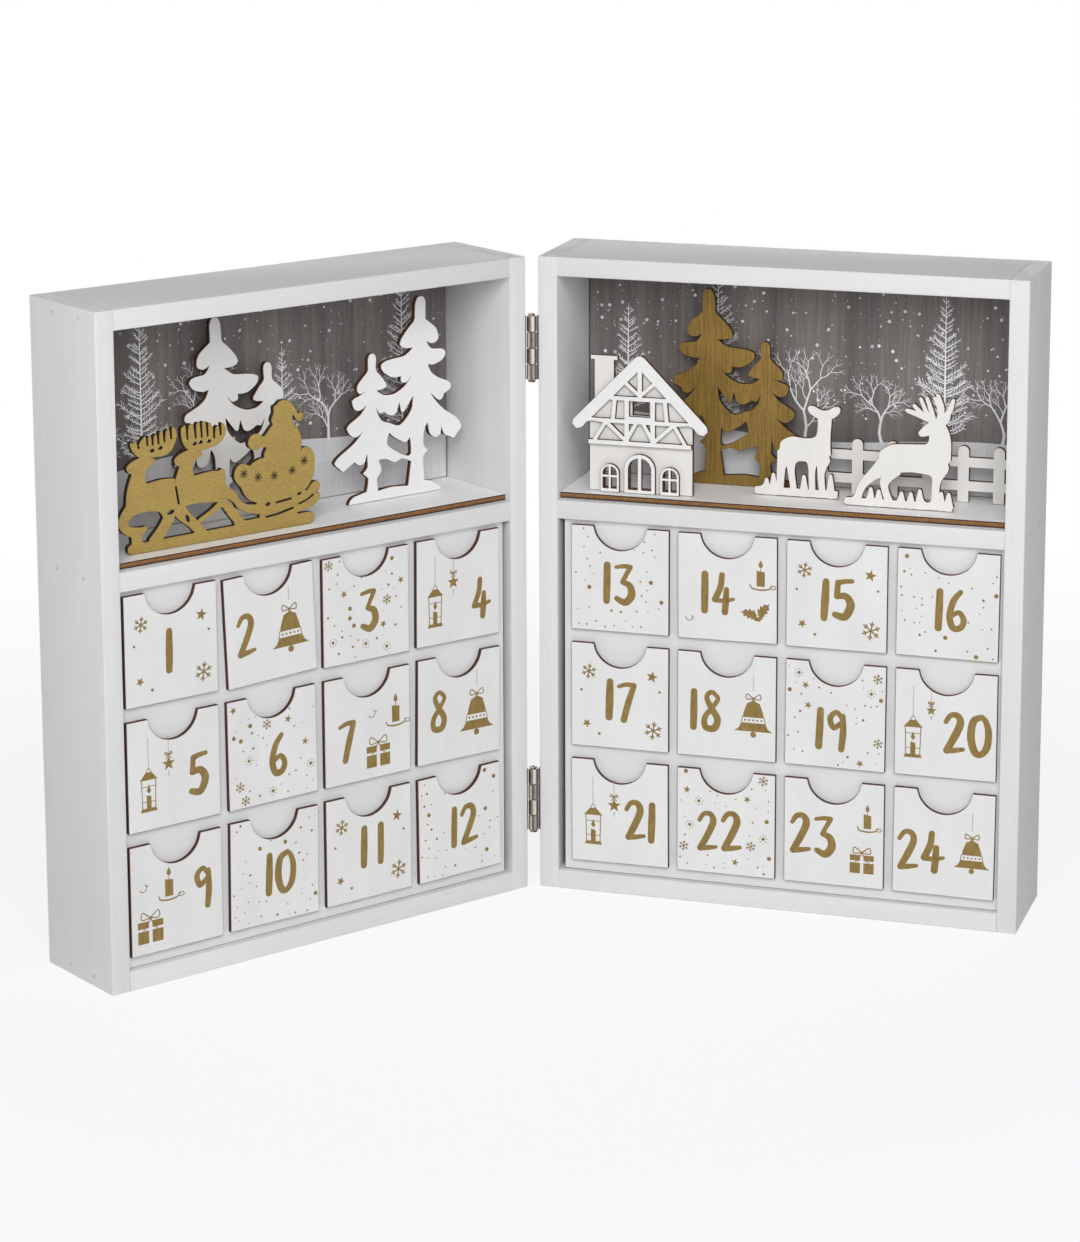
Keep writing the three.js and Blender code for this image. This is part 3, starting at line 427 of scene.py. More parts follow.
for make in (white_paint, white_lacquer, gold_ink, panel_print, bare_ply, nickel, nail_paint):
    make()
white_sheet("white_sheet", colour(226, 226, 226), colour(233, 233, 233))
white_sheet("snow_sheet", colour(236, 236, 236), colour(242, 242, 242))
white_sheet("warm_sheet", colour(229, 227, 223), colour(236, 234, 231))
burnt_edge("sheet_edge", 2.2 * MM, colour(74, 42, 29), colour(48, 28, 21), colour(118, 74, 48))
burnt_edge("figure_edge", 2.5 * MM, colour(84, 54, 34), colour(44, 30, 22), colour(150, 104, 64))
burnt_edge("gold_edge", 2.5 * MM, colour(50, 34, 20), colour(28, 20, 14), colour(92, 66, 34))
burnt_edge("shelf_edge", 3 * MM, colour(60, 34, 20), colour(140, 98, 54), colour(40, 24, 16),
           colour(158, 112, 62))
burnt_edge("ply_edge", 2 * MM, colour(84, 56, 34), colour(70, 46, 28), colour(120, 84, 52))
gold_paint("gold", colour(181, 158, 91), colour(165, 140, 75), 0.12)
gold_paint("old_gold", colour(158, 130, 62), colour(126, 100, 44), 0.75)
dark_wood("burnt_mark", 0.001, colour(34, 22, 14), colour(66, 44, 26), 0.8)
# Painted shade: the back panel's rim is dark so that the gap round the panel looks shaded
dark_wood("panel_rim", 0.002, colour(30, 26, 24), colour(52, 46, 42), 0.85)


# Meshes
def new_mesh():
    mesh = bmesh.new()
    mesh.verts.layers.float_vector.new("Grain")
    return mesh


def set_grain(mesh, rule):
    """Gives each vertex its place in the wood: along the grain, across it and behind the front."""
    layer = mesh.verts.layers.float_vector["Grain"]
    for v in mesh.verts:
        v[layer] = rule(v.co)


def upright_grain(mesh, shift=0.0, front=0.0):
    set_grain(mesh, lambda p: (p.z + shift, p.x + shift, p.y - front))


def level_grain(mesh, shift=0.0, front=0.0):
    set_grain(mesh, lambda p: (p.x + shift, p.z + shift, p.y - front))


def wood_shift(seed):
    """Where in the wood a piece was cut, so that no two look the same"""
    return random.Random(seed).uniform(0, 3)


def add_item(name, data):
    """Makes an object of some data and links it to the scene."""
    item = bpy.data.objects.new(name, data)
    bpy.context.scene.collection.objects.link(item)
    return item


def add_mesh(name, mesh):
    data = bpy.data.meshes.new(name)
    mesh.to_mesh(data)
    mesh.free()
    return add_item(name, data)


def piece(name, mesh, case, body, materials, slot, replaces=(), place=None):
    """Finishes a piece drawn in its case's frame, sets it in the row frame and lets it ride on its body."""
    bmesh.ops.recalc_face_normals(mesh, faces=mesh.faces)
    item = add_mesh(name, mesh)
    for material in materials:
        item.data.materials.append(MATERIALS[material])
    item.data.shade_smooth()
    item.data.set_sharp_from_angle(angle=math.radians(SHARP_TURN))
    item.matrix_world = (case.to_row if case else Matrix()) @ (place or Matrix())
    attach(item, body)
    if replaces:
        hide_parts(*replaces)


def join(mesh, rings):
    """Adds the faces from each ring of vertices to the next, and gives them back."""
    faces = []
    for a, b in zip(rings, rings[1:]):
        for i in range(len(a)):
            j = (i + 1) % len(a)
            faces.append(mesh.faces.new((a[i], a[j], b[j], b[i])))
    return faces


def circle(sides):
    """Evenly spaced places on a circle of radius 1"""
    turns = [2 * math.pi * i / sides for i in range(sides)]
    return [(math.cos(a), math.sin(a)) for a in turns]


# Outlines, as lists of (x, z) points
def turnings(loop):
    """Each point of an outline, with the directions of the sides before and after it"""
    for i, p in enumerate(loop):
        yield p, (p - loop[i - 1]).normalized(), (loop[(i + 1) % len(loop)] - p).normalized()


def clean(loop):
    """Drops the points that lie on a straight line."""
    limit = math.cos(math.radians(STRAIGHT_TURN))
    return [p for p, before, after in turnings(loop) if before.dot(after) < limit]


def refine(loop, steps=4):
    """Rounds the coarse arcs of an outline, and keeps its straight lines and its corners."""
    count = len(loop)
    sides = [loop[(i + 1) % count] - loop[i] for i in range(count)]

    def tangents(i):
        before, after = sides[i - 1], sides[i]
        a, b = before.length, after.length
        turn = math.degrees(before.angle(after))
        if turn > CORNER_TURN or (turn > SLIGHT_TURN and min(a, b) > ARC_SPAN):
            return before / a, after / b
        if max(a, b) > STRAIGHT_RATIO * min(a, b) and max(a, b) > ARC_SPAN / 2:
            straight = before / a if a > b else after / b
            return straight, straight
        mean = (before / a * b + after / b * a).normalized()
        return mean, mean

    bends = [tangents(i) for i in range(count)]
    fine = []
    for i in range(count):
        start, end, side = loop[i], loop[(i + 1) % count], sides[i]
        t0, t1 = bends[i][1], bends[(i + 1) % count][0]
        flat = min(t0.dot(side), t1.dot(side)) / side.length
        pieces = 1 if flat > math.cos(math.radians(FLAT_TURN)) else steps
        for k in range(pieces):
            t = k / pieces
            h = (2 * t**3 - 3 * t**2 + 1, t**3 - 2 * t**2 + t, -2 * t**3 + 3 * t**2, t**3 - t**2)
            fine.append(start * h[0] + t0 * (side.length * h[1]) + end * h[2] + t1 * (side.length * h[3]))
    return fine


def inset(loop, distance):
    """Moves an outline in by a distance, or a hole's outline out, as solid lies on its left."""
    moved = []
    for p, before, after in turnings(loop):
        normal = Vector((-before.y - after.y, before.x + after.x))
        if normal.length < 1e-6:
            moved.append(p)
            continue
        normal.normalize()
        spread = max(normal.dot(Vector((-before.y, before.x))), 0.5)
        moved.append(p + normal * (distance / spread))
    return moved


def outline_of(case, node, steps=4, fine=True):
    """The outline of a flat CAD node as seen from the front, with solid on its left, and its two depths."""
    mesh = bmesh.new()
    mesh.from_mesh(frame["nodes"][node].data)
    mesh.transform(case.to_case)
    bmesh.ops.remove_doubles(mesh, verts=mesh.verts, dist=WELD)
    front = min(v.co.y for v in mesh.verts)
    back = max(v.co.y for v in mesh.verts)
    follow = {}
    for face in mesh.faces:
        if all(v.co.y < front + FRONT_LAYER for v in face.verts):
            for corner in face.loops:
                a, b = corner.vert.index, corner.link_loop_next.vert.index
                if a in follow.get(b, ()):
                    follow[b].remove(a)
                else:
                    follow.setdefault(a, []).append(b)
    flat = {v.index: Vector((v.co.x, v.co.z)) for v in mesh.verts}
    mesh.free()
    loops = []
    while any(follow.values()):
        start = next(a for a, ends in follow.items() if ends)
        loop, at = [], start
        while follow.get(at):
            loop.append(flat[at])
            at = follow[at].pop()
        tidy = clean(loop)
        if len(tidy) > 2:
            loops.append(refine(tidy, steps) if fine else tidy)
    return loops, front, back


def cap(mesh, rings):
    """Fills rings of vertices that lie at one depth. Rings inside others are holes."""
    flat = [v for ring in rings for v in ring]
    edges, start = [], 0
    for ring in rings:
        edges += [(start + i, start + (i + 1) % len(ring)) for i in range(len(ring))]
        start += len(ring)
    places = [Vector((v.co.x, v.co.z)) for v in flat]
    points, _, faces, origins, _, _ = delaunay_2d_cdt(places, edges, [], 1, 1e-7)
    depth = flat[0].co.y
    corners = [flat[ids[0]] if ids else mesh.verts.new((p.x, depth, p.y)) for p, ids in zip(points, origins)]
    sides = [(places[a], places[b]) for a, b in edges]
    for face in faces:
        if is_inside(sum((points[i] for i in face), Vector((0, 0))) / len(face), sides):
            mesh.faces.new([corners[i] for i in face])


def is_inside(p, sides):
    """Whether a point has solid round it, by counting the sides that a level line from it crosses"""
    crossed = 0
    for a, b in sides:
        if (a.y > p.y) != (b.y > p.y) and p.x < a.x + (b.x - a.x) * (p.y - a.y) / (b.y - a.y):
            crossed += 1
    return crossed % 2 == 1


def slab(mesh, loops, front, back, edge=SHEET_EDGE, to_place=None):
    """Adds a flat piece with chamfered edges: faces have material 0, edges material 1."""
    fronts, backs, added = [], [], []
    for loop in loops:
        small = inset(loop, edge)
        levels = ((small, front), (loop, front + edge), (loop, back - edge), (small, back))
        rings = [[mesh.verts.new((p.x, depth, p.y)) for p in points] for points, depth in levels]
        for face in join(mesh, rings):
            face.material_index = 1
        fronts.append(rings[0])
        backs.append(rings[3])
        added += sum(rings, [])
    cap(mesh, fronts)
    cap(mesh, backs)
    if to_place:
        bmesh.ops.transform(mesh, matrix=to_place, verts=added)


def rounded_box(mesh, low, high, radius, steps=1):
    made = bmesh.ops.create_cube(mesh, size=1.0)["verts"]
    size, centre = high - low, (high + low) / 2
    for v in made:
        v.co = Vector([c + p * s for c, p, s in zip(centre, v.co, size)])
    edges = {e for v in made for e in v.link_edges}
    bmesh.ops.bevel(mesh, geom=list(edges), offset=radius, segments=steps, profile=0.5, affect="EDGES")


def rounded_section(a0, a1, b0, b1, radii, steps=4):
    """A rectangle whose four corners, counted from the lowest one, have their own radii"""
    points = []
    corners = ((a0, b0, 1, 1), (a1, b0, -1, 1), (a1, b1, -1, -1), (a0, b1, 1, -1))
    for k, ((a, b, to_a, to_b), r) in enumerate(zip(corners, radii)):
        for i in range(steps + 1):
            angle = math.pi * (1 + k / 2) + math.pi / 2 * i / steps
            points.append(Vector((a + to_a * r + r * math.cos(angle), b + to_b * r + r * math.sin(angle))))
    return points


def bar(mesh, section, axis, low, high, end_edge):
    """Adds a bar along an axis, its section drawn in the two others, with eased ends."""
    ease = ((1, 0), (0.3, 0.3), (0, 1))
    end = [(inset(section, end_edge * share), end_edge * depth) for share, depth in ease]
    levels = [(points, low + depth) for points, depth in end]
    levels += [(points, high - depth) for points, depth in reversed(end)]
    rings = []
    for points, at in levels:
        ring = []
        for p in points:
            place = [p.x, p.y]
            place.insert(axis, at)
            ring.append(mesh.verts.new(place))
        rings.append(ring)
    join(mesh, rings)
    mesh.faces.new(rings[0])
    mesh.faces.new(rings[-1])


def button(mesh, centre, outward, radius, profile, sides, cross=0.0):
    """Adds a small round head on a face across x, with a cross sunk into it."""
    rings = []
    for share, rise in profile:
        ring = []
        for i, (y, z) in enumerate(circle(sides)):
            sunk = share < 0.5 or (share < 0.7 and i % (sides // 4) == 0)
            x = outward * (rise - (cross if sunk else 0.0)) * MM
            ring.append(mesh.verts.new(centre + Vector((x, radius * share * y, radius * share * z))))
        rings.append(ring)
    join(mesh, rings)
    mesh.faces.new(rings[0])
    mesh.faces.new(list(reversed(rings[-1])))


# Boards of the cases
def upright(case, part):
    """A side board over the full height. Its inner edges are sharper, as they meet the boards between."""
    node = f"{case.name}_{part}"
    low, high = case.box(node)
    outer_is_low = (abs(low.x) > abs(high.x)) == (part == "outer_side")
    soft, sharp = (BOARD_EDGE, INNER_EDGE) if outer_is_low else (INNER_EDGE, BOARD_EDGE)
    mesh = new_mesh()
    section = rounded_section(low.x, high.x, low.y, high.y, (soft, sharp, sharp, soft))
    bar(mesh, section, 2, low.z, high.z, UPRIGHT_END_EDGE)
    finish_board(case, node, mesh, upright_grain)


def level(case, part):
    """A board between the sides, let into them by a hair so that the joint closes"""
    node = f"{case.name}_{part}"
    low, high = case.box(node)
    mesh = new_mesh()
    section = rounded_section(low.y, high.y, low.z, high.z, (BOARD_EDGE,) * 4)
    bar(mesh, section, 0, low.x - JOINT_CLOSE, high.x + JOINT_CLOSE, LEVEL_END_EDGE)
    finish_board(case, node, mesh, level_grain)


def finish_board(case, node, mesh, grain):
    shift = wood_shift(node)
    grain(mesh, shift, -shift)
    piece(node.replace("_", "-"), mesh, case, case.body, ["white_paint"], "white_paint", [node])


def nails(case):
    """Painted-over pins that hold the side boards on the boards between them"""
    mesh = new_mesh()
    rng = random.Random(f"{case.name} nails")
    for part, others in (("outer_side", ("top", "mid_rail", "bottom")), ("hinge_side", ("top", "bottom"))):
        low, high = case.box(f"{case.name}_{part}")
        x, outward = (low.x, -1) if (part == "outer_side") == (case.side < 0) else (high.x, 1)
        for other in others:
            board_low, board_high = case.box(f"{case.name}_{other}")
            for depth in NAIL_DEPTHS:
                y = depth + rng.uniform(-1, 1) * MM
                z = (board_low.z + board_high.z) / 2 + rng.uniform(-0.7, 0.7) * MM
                button(mesh, Vector((x, y, z)), outward, NAIL_RADIUS, NAIL_PROFILE, 16)
    upright_grain(mesh)
    piece(f"{case.name}-nails", mesh, case, case.body, ["nail_paint"], "white_paint")


def shelf(case):
    """The shelf under the scene, painted above and below"""
    node = f"{case.name}_shelf"
    low, high = case.box(node)
    mesh = new_mesh()
    rounded_box(mesh, low, high, SHELF_EDGE)
    mesh.normal_update()
    for face in mesh.faces:
        face.material_index = 0 if abs(face.normal.z) > 0.5 else 1
    shift = wood_shift(node)
    set_grain(mesh, lambda p: (p.x + shift, p.y, high.z - p.z))
    # The shelf's top and bottom take the white that is made brighter as painted light; its edges show the plies
    piece(f"{case.name}-shelf", mesh, case, case.body, ["white_lacquer", "shelf_edge"], "white_ply", [node])


# Flat cut-out pieces
def soften(loop):
    """Eases the bends of an outline, and leaves its corners and its round ends."""
    points = []
    for a, b in zip(loop, loop[1:] + loop[:1]):
        parts = max(1, round((b - a).length / SOFT_SPACING))
        points += [a.lerp(b, k / parts) for k in range(parts)]
    count = len(points)
    turns = [before.angle(after, 0) for _, before, after in turnings(points)]
    reach = [0.0]
    for p, q in zip(points, points[1:]):
        reach.append(reach[-1] + (q - p).length)

    def close_turns(i, way):
        """The turns within reach of a point, on one side of it"""
        at = i + way
        while 0 <= at < count and abs(at - i) < SOFT_STEPS and abs(reach[at] - reach[i]) < SOFT_REACH:
            yield turns[at]
            at += way

    shares = []
    for i in range(count):
        turned = turns[i] + sum(close_turns(i, -1)) + sum(close_turns(i, 1))
        bend = (math.radians(ROUND_END_TURN) - turned) / math.radians(ROUND_END_FADE)
        shares.append(SOFT_SHARE * min(max(bend, 0), 1))
    for _ in range(SOFT_ROUNDS):
        middles = [(points[i - 1] + points[(i + 1) % count]) / 2 for i in range(count)]
        points = [p + (middle - p) * share for p, middle, share in zip(points, middles, shares)]
    return points


def cut_out(case, node, looks, slot, grain=upright_grain, redraw=None, fine=True):
    """A flat piece with the outline of its node, redrawn where it needs to be"""
    loops, front, back = outline_of(case, node, fine=fine)
    if redraw:
        loops = redraw(loops)
    mesh = new_mesh()
    slab(mesh, loops, front, back)
    grain(mesh, wood_shift(node), front)
    piece(node.replace("_", "-"), mesh, case, case.body, looks, slot, [node])


def soft_outlines(loops):
    """Every outline with its bends eased"""
    return [soften(loop) for loop in loops]


def doe_outline(loops):
    """The doe's forehead closes the notch between her ears."""
    low, high = RIGHT.box("doe")
    square = (high.z - low.z) / DEER_SQUARES
    for p in sum(loops, []):
        if FOREHEAD[0] < (p.x - low.x) / square < FOREHEAD[1] and p.y > high.z - FOREHEAD_DEPTH * square:
            p.y = max(p.y, high.z - FOREHEAD_TOP * square)
    return soft_outlines(loops)


def team_outline(loops):
    """The team's antlers end in round tines."""
    low, _ = LEFT.box("sleigh_team")
    return [soften(round_tines(loop, low.x, low.x + ANTLER_SPAN, low.z + ANTLER_FLOOR)) for loop in loops]


def round_tines(loop, low_x, high_x, floor):
    """Rounds the ends of the antlers' tines, which slits part from each other."""
    ends = []
    for i, (p, before, after) in enumerate(turnings(loop)):
        in_zone = low_x < p.x < high_x and p.y > floor
        if in_zone and before.angle_signed(after) < -math.radians(TINE_TURN):
            ends.append(i)
    rounded, at = [], 0
    up = Vector((TINE_LEAN, 1.0)).normalized()
    for start, end in zip(ends, ends[1:]):
        a, b = loop[start], loop[end]
        chord = b - a
        way = sum((loop[k + 1] - loop[k]).length for k in range(start, end))
        if way > TINE_REACH or chord.length < TINE_WIDTH or start < at:
            continue
        sink = min(TINE_SINK, chord.length * 0.5)
        rises = [p - a - chord * ((p - a).dot(chord) / chord.length_squared) for p in loop[start:end + 1]]
        crown = max(rise.length for rise in rises)
        rounded += loop[at:start]
        foot = (a + b) / 2 - up * sink
        for k in range(TINE_STEPS + 1):
            angle = math.pi * k / TINE_STEPS
            rounded.append(foot - chord / 2 * math.cos(angle) + up * (sink + crown) * math.sin(angle))
        at = end + 1
    return rounded + loop[at:]


# Flat print on panels and drawer fronts
def away(x, z, angle, length):
    """The place that lies a length away, at an angle from straight up"""
    return x + math.sin(angle) * length, z + math.cos(angle) * length


def sized(points, x, z, size):
    """Points of a pattern brought to their place and size"""
    return [(x + px * size, z + pz * size) for px, pz in points]


def mirrored(points):
    return [(-px, pz) for px, pz in points]


class Print:
    """Flat print in millimetres: thin raised shapes, each as strong as its ink."""

    def __init__(self, depth):
        self.mesh = new_mesh()
        self.ink = self.mesh.verts.layers.float_color.new("Ink")
        self.front = depth - PRINT_PROUD
        self.back = depth + PRINT_PROUD
        self.level = 0.0

    def vertex(self, x, z, depth, ink):
        v = self.mesh.verts.new((x * MM, depth, z * MM))
        v[self.ink] = (ink, ink, ink, 1)
        return v

    def lift(self):
        """The next depth, a hair above the last, so that no two pieces of print share a face"""
        self.level = (self.level + PRINT_STEP) % (PRINT_LEVELS * PRINT_STEP)
        return self.front - self.level

    def shape(self, points, ink=1.0):
        """A filled shape without crossings"""
        front = [self.vertex(x, z, self.lift(), ink) for x, z in points]
        back = [self.vertex(x, z, self.back, ink) for x, z in points]
        join(self.mesh, (front, back))
        for triangle in tessellate_polygon([[Vector((x, z, 0)) for x, z in points]]):
            for ring in (front, back):
                self.mesh.faces.new([ring[k] for k in triangle])

    def dot(self, x, z, radius, ink=1.0, sides=14):
        self.shape(sized(circle(sides), x, z, radius), ink)

    def star(self, x, z, outer, inner, arms, turn=0.0):
        points = [(turn + math.pi * i / arms, inner if i % 2 else outer) for i in range(2 * arms)]
        self.shape([away(x, z, angle, length) for angle, length in points])

    def ray(self, x, z, angle, reach, width):
        """A straight line about its middle"""
        self.stroke([away(x, z, angle, -reach), away(x, z, angle, reach)], [width, width], caps=2)

    def stroke(self, points, widths, ink=1.0, steps=5, caps=3):
        """A line of changing width with round ends. It may cross itself."""
        line = smooth_line([Vector(p) for p in points], steps)
        total = len(line) - 1
        stations = []
        for i, p in enumerate(line):
            ahead = line[min(i + 1, total)] - line[max(i - 1, 0)]
            t = i / total * (len(widths) - 1)
            k = min(int(t), len(widths) - 2)
            width = widths[k] + (widths[k + 1] - widths[k]) * (t - k)
            stations.append((p, ahead.normalized(), width / 2))
        turns = [math.pi / 2 * (i + 1) / (caps + 1) for i in range(caps)]
        nose, tail = ([(at + way * ahead * half * math.sin(a), ahead, half * math.cos(a)) for a in turns]
                      for (at, ahead, half), way in ((stations[0], -1), (stations[-1], 1)))
        self.ribbon(nose[::-1] + stations + tail, ink)

    def ribbon(self, stations, ink):
        """Joins stations, each a place, the way ahead and half a width, and rises a hair along them."""
        top = self.lift()
        rings = []
        for i, (at, ahead, half) in enumerate(stations):
            side = Vector((-ahead.y, ahead.x)) * half
            front = top - PRINT_RISE * i / len(stations)
            corners = ((at + side, front), (at - side, front), (at - side, self.back), (at + side, self.back))
            rings.append([self.vertex(c.x, c.y, depth, ink) for c, depth in corners])
        join(self.mesh, rings)
        self.mesh.faces.new(rings[0])
        self.mesh.faces.new(rings[-1])

    def finish(self, name, case, body, material, slot, seed, place=None):
        upright_grain(self.mesh, wood_shift(seed))
        piece(name, self.mesh, case, body, [material], slot, place=place)


def smooth_line(points, steps):
    """A smooth line through points"""
    if len(points) < 3:
        return points
    line = []
    for i in range(len(points) - 1):
        p0, p1 = points[max(i - 1, 0)], points[i]
        p2, p3 = points[i + 1], points[min(i + 2, len(points) - 1)]
        for k in range(steps):
            t = k / steps
            line.append(0.5 * (2 * p1 + (p2 - p0) * t + (2 * p0 - 5 * p1 + 4 * p2 - p3) * t**2
                               + (3 * p1 - p0 - 3 * p2 + p3) * t**3))
    return line + [points[-1]]


# Winter print on the back panels: a bank of snow, bare trees, slim firs and falling snow
PANEL_MARGIN = 0.7
SNOW_STRENGTH = 0.66
DRIFTS = 46
FLECKS = 460
FLECK_RADII = (0.14, 0.14, 0.18, 0.22, 0.22, 0.3, 0.3, 0.42, 0.55, 0.8)
TRUNK_WIDTH = 1.5
TRUNK_FORKS = 5
TIER_HEIGHT = 2.3
FORK_SPACING = 1.25


def bough(art, rng, x, z, angle, length, width, ink, depth):
    """A bare bough that forks towards its twigs"""
    mid = away(x, z, angle + rng.uniform(-0.25, 0.25), length * 0.5)
    end = away(x, z, angle, length)
    art.stroke([(x, z), mid, end], [width, width * 0.66], ink, 2, 1)
    if depth == 0:
        return
    for side in (-1, 1):
        turn = side * rng.uniform(0.26, 0.6)
        bough(art, rng, *end, angle + turn, length * rng.uniform(0.62, 0.82), width * 0.66, ink, depth - 1)
    if rng.random() < 0.7:
        turn = rng.choice((-1, 1)) * rng.uniform(0.5, 0.8)
        bough(art, rng, *mid, angle + turn, length * 0.55, width * 0.5, ink, depth - 1)


def slim_fir(art, rng, x, z, height, ink):
    """A frosted fir: a thin stem with rising boughs that fork into twigs"""
    stem = [(x, z), (x + rng.uniform(-0.4, 0.4), z + height * 0.5), (x, z + height)]
    art.stroke(stem, [1.1, 0.7, 0.25], ink, 3, 1)
    tiers = int(height / TIER_HEIGHT)
    for i in range(tiers):
        share = 0.05 + 0.93 * i / tiers
        reach = height * 0.2 * (1 - share) ** 0.9 + 0.9
        for side in (-1, 1):
            root = Vector((x, z + height * share + rng.uniform(-1.1, 1.1)))
            length = reach * rng.uniform(0.6, 1.2)
            rise = rng.uniform(0.25, 0.6) + 0.45 * share
            fir_bough(art, rng, root, side, length, rise, ink)


def fir_bough(art, rng, root, side, length, rise, ink):
    """A bough that sags a little and forks into twigs"""
    tip = root + Vector((side * length, length * rise))
    middle = root.lerp(tip, 0.5) - Vector((0, length * rng.uniform(0.02, 0.1)))
    art.stroke([root, middle, tip], [0.5, 0.34, 0.2], ink, 2, 1)
    forks = max(2, int(length / FORK_SPACING))
    for k in range(1, forks):
        at = root.lerp(tip, k / forks)
        for turn in (0.6, -0.55):
            if rng.random() < 0.2:
                continue
            heading = math.atan2(rise, 1) + turn * rng.uniform(0.8, 1.3)
            out = Vector((side * math.cos(heading), math.sin(heading))) * (length * 0.2 + 0.8)
            art.stroke([at, at + out * rng.uniform(0.5, 1.1)], [0.27, 0.16], ink, 1, 1)


def snow_bank(art, rng, left, right, low, crest, ink):
    """A bank of snow with softly marked drifts"""
    top = [(x, crest(x)) for x in [left + (right - left) * i / 40 for i in range(41)]]
    art.shape([(left, low), (right, low)] + top[::-1], ink)
    for _ in range(DRIFTS):
        x = rng.uniform(left + 6, right - 6)
        z = rng.uniform(low + 1.5, crest(x) - 2)
        reach = rng.uniform(1.5, 5)
        drift = [(x - reach, z), (x, z + rng.uniform(0.2, 0.8)), (x + reach, z - rng.uniform(0, 0.5))]
        art.stroke(drift, [0.1, rng.uniform(0.3, 0.9), 0.1], ink + rng.choice((-0.1, -0.05, 0.1)), 4, 1)


def falling_snow(art, rng, left, right, low, top):
    for _ in range(FLECKS):
        x, z = rng.uniform(left + 1, right - 1), rng.uniform(low, top)
        art.dot(x, z, rng.choice(FLECK_RADII), rng.uniform(0.55, 1.0), 10)


def back_panel(case, firs, bare, crest):
    """A printed panel. Trees are given by their share of the width, their height and their ink."""
    node = f"{case.name}_back_panel"
    seed = f"{case.name} print"
    low, high = case.box(node)
    mesh = new_mesh()
    rounded_box(mesh, low, high, PANEL_RIM)
    upright_grain(mesh, wood_shift(seed))
    mesh.normal_update()
    for face in mesh.faces:
        # The front takes the print, the back is bare, and the rim is dark as painted shade in the gap round the
        # panel
        face.material_index = 0 if face.normal.y < -0.9 else 1 if face.normal.y > 0.9 else 2
    looks = ["panel_print", "bare_ply", "panel_rim"]
    piece(node.replace("_", "-"), mesh, case, case.body, looks, "printed_back", [node])
    rng = random.Random(seed)
    art = Print(low.y)
    left, right = low.x / MM + PANEL_MARGIN, high.x / MM - PANEL_MARGIN
    width = right - left
    shelf_top = case.box(f"{case.name}_shelf")[1].z / MM
    snow_bank(art, rng, left, right, shelf_top + 0.3, crest, SNOW_STRENGTH)
    for share, height, ink in firs:
        x = left + width * share
        slim_fir(art, rng, x, crest(x) - 1, height, ink)
    for share, length, ink in bare:
        x = left + width * share
        bough(art, rng, x, crest(x) - 1, rng.uniform(-0.08, 0.08), length, TRUNK_WIDTH, ink, TRUNK_FORKS)
    falling_snow(art, rng, left, right, crest(left) + 2, high.z / MM - 2.2)
    art.finish(f"{case.name}-panel-print", case, case.body, "panel_print", "printed_back", seed)


def left_crest(x):
    """How high the snow lies, in millimetres"""
    return 216 + 4 * math.sin((x + 200) / 34) + 0.03 * (x + 200)


def right_crest(x):
    return 218 + 3.4 * math.sin((x + 30) / 30) - 0.03 * x


# Numbers, written with a broad brush on a field 20 high: strokes of points x, z and width
DIGITS = {
    "0": ([[(6.4, 18.9, 2.2), (2.6, 16.6, 3.1), (1.4, 9.4, 3.3), (3, 2.6, 3), (6, 1.4, 2.6), (8.8, 5.4, 3),
            (9.4, 12.4, 2.8), (7.8, 17.6, 2.2), (5.6, 18.7, 2)]], 10.8),
    "1": ([[(2.1, 18.5, 2.9), (1.9, 10, 3.3), (1.6, 1.5, 3)]], 3.6),
    "2": ([[(1.2, 15, 1.9), (3.4, 18.2, 2.2), (6.6, 18.1, 2.6), (7.8, 14.6, 3.1), (5.4, 8.4, 3.1),
            (1.9, 1.6, 2.8)], [(1.9, 1.5, 2.6), (5.6, 2, 2.3), (9.4, 2.7, 1.6)]], 9.8),
    "3": ([[(1.2, 18.2, 1.6), (5, 18.9, 1.9), (8, 18.7, 2.2)],
           [(8, 18.6, 2.2), (5.8, 14.6, 2), (4.2, 11.4, 2)],
           [(4.2, 11.3, 2), (7.6, 9.8, 3), (8.4, 5.4, 3.5), (5.4, 1.8, 3.1), (1.3, 3.4, 2.2)]], 9.6),
    "4": ([[(4.8, 18.7, 2.5), (4, 12.8, 2.8), (1.4, 7, 2.6)],
           [(1.3, 6.8, 2.4), (5.6, 6.6, 2), (10.2, 7.6, 1.5)],
           [(6.9, 12, 2.4), (6.6, 6, 3.1), (6.2, 1.3, 2.8)]], 10.4),
    "5": ([[(9, 18.8, 1.7), (5.6, 18.5, 2), (2.6, 17.7, 2.4)], [(2.5, 17.8, 2.4), (2.1, 11.4, 2.5)],
           [(2, 11.3, 2.4), (6.2, 11.6, 2.9), (8.6, 7.6, 3.4), (6, 2.1, 3.2), (1.4, 2.8, 2.4)]], 9.8),
    "6": ([[(6.4, 18.7, 2.2), (3.2, 14.4, 2.9), (1.5, 7.4, 3.1), (3, 2, 2.9), (6.6, 2.3, 2.8), (7.9, 6, 2.6),
            (5.6, 9.2, 2.2), (2, 7, 1.8)]], 9),
    "7": ([[(1, 17.2, 1.7), (4.6, 18.4, 2), (8.4, 18.3, 2.4)],
           [(8.4, 18.2, 2.5), (5.8, 10, 3.1), (3.6, 1.4, 2.9)]], 9),
    "8": ([[(7.8, 17, 2), (5.2, 19, 2), (2.8, 16.4, 2.3), (5, 11.4, 2.8), (7.9, 6.4, 3.1), (6.4, 1.9, 3),
            (2.2, 2.2, 2.8), (2, 6.8, 2.6), (5.2, 11.2, 2.3), (8, 15.4, 2), (7.7, 17.2, 2)]], 9.4),
    "9": ([[(7, 16, 2), (4.6, 18.8, 2.2), (1.6, 15.8, 2.7), (3.2, 11.4, 2.7), (7, 14.2, 2)],
           [(7.5, 17.2, 2.4), (7.6, 9, 3.1), (6.8, 1.4, 2.8)]], 9),
}
DIGIT_FIELD = 20
DIGIT_GAP = 1.6
ELEVEN_GAP = 5.6


def digit_gap(text):
    return ELEVEN_GAP if text == "11" else DIGIT_GAP


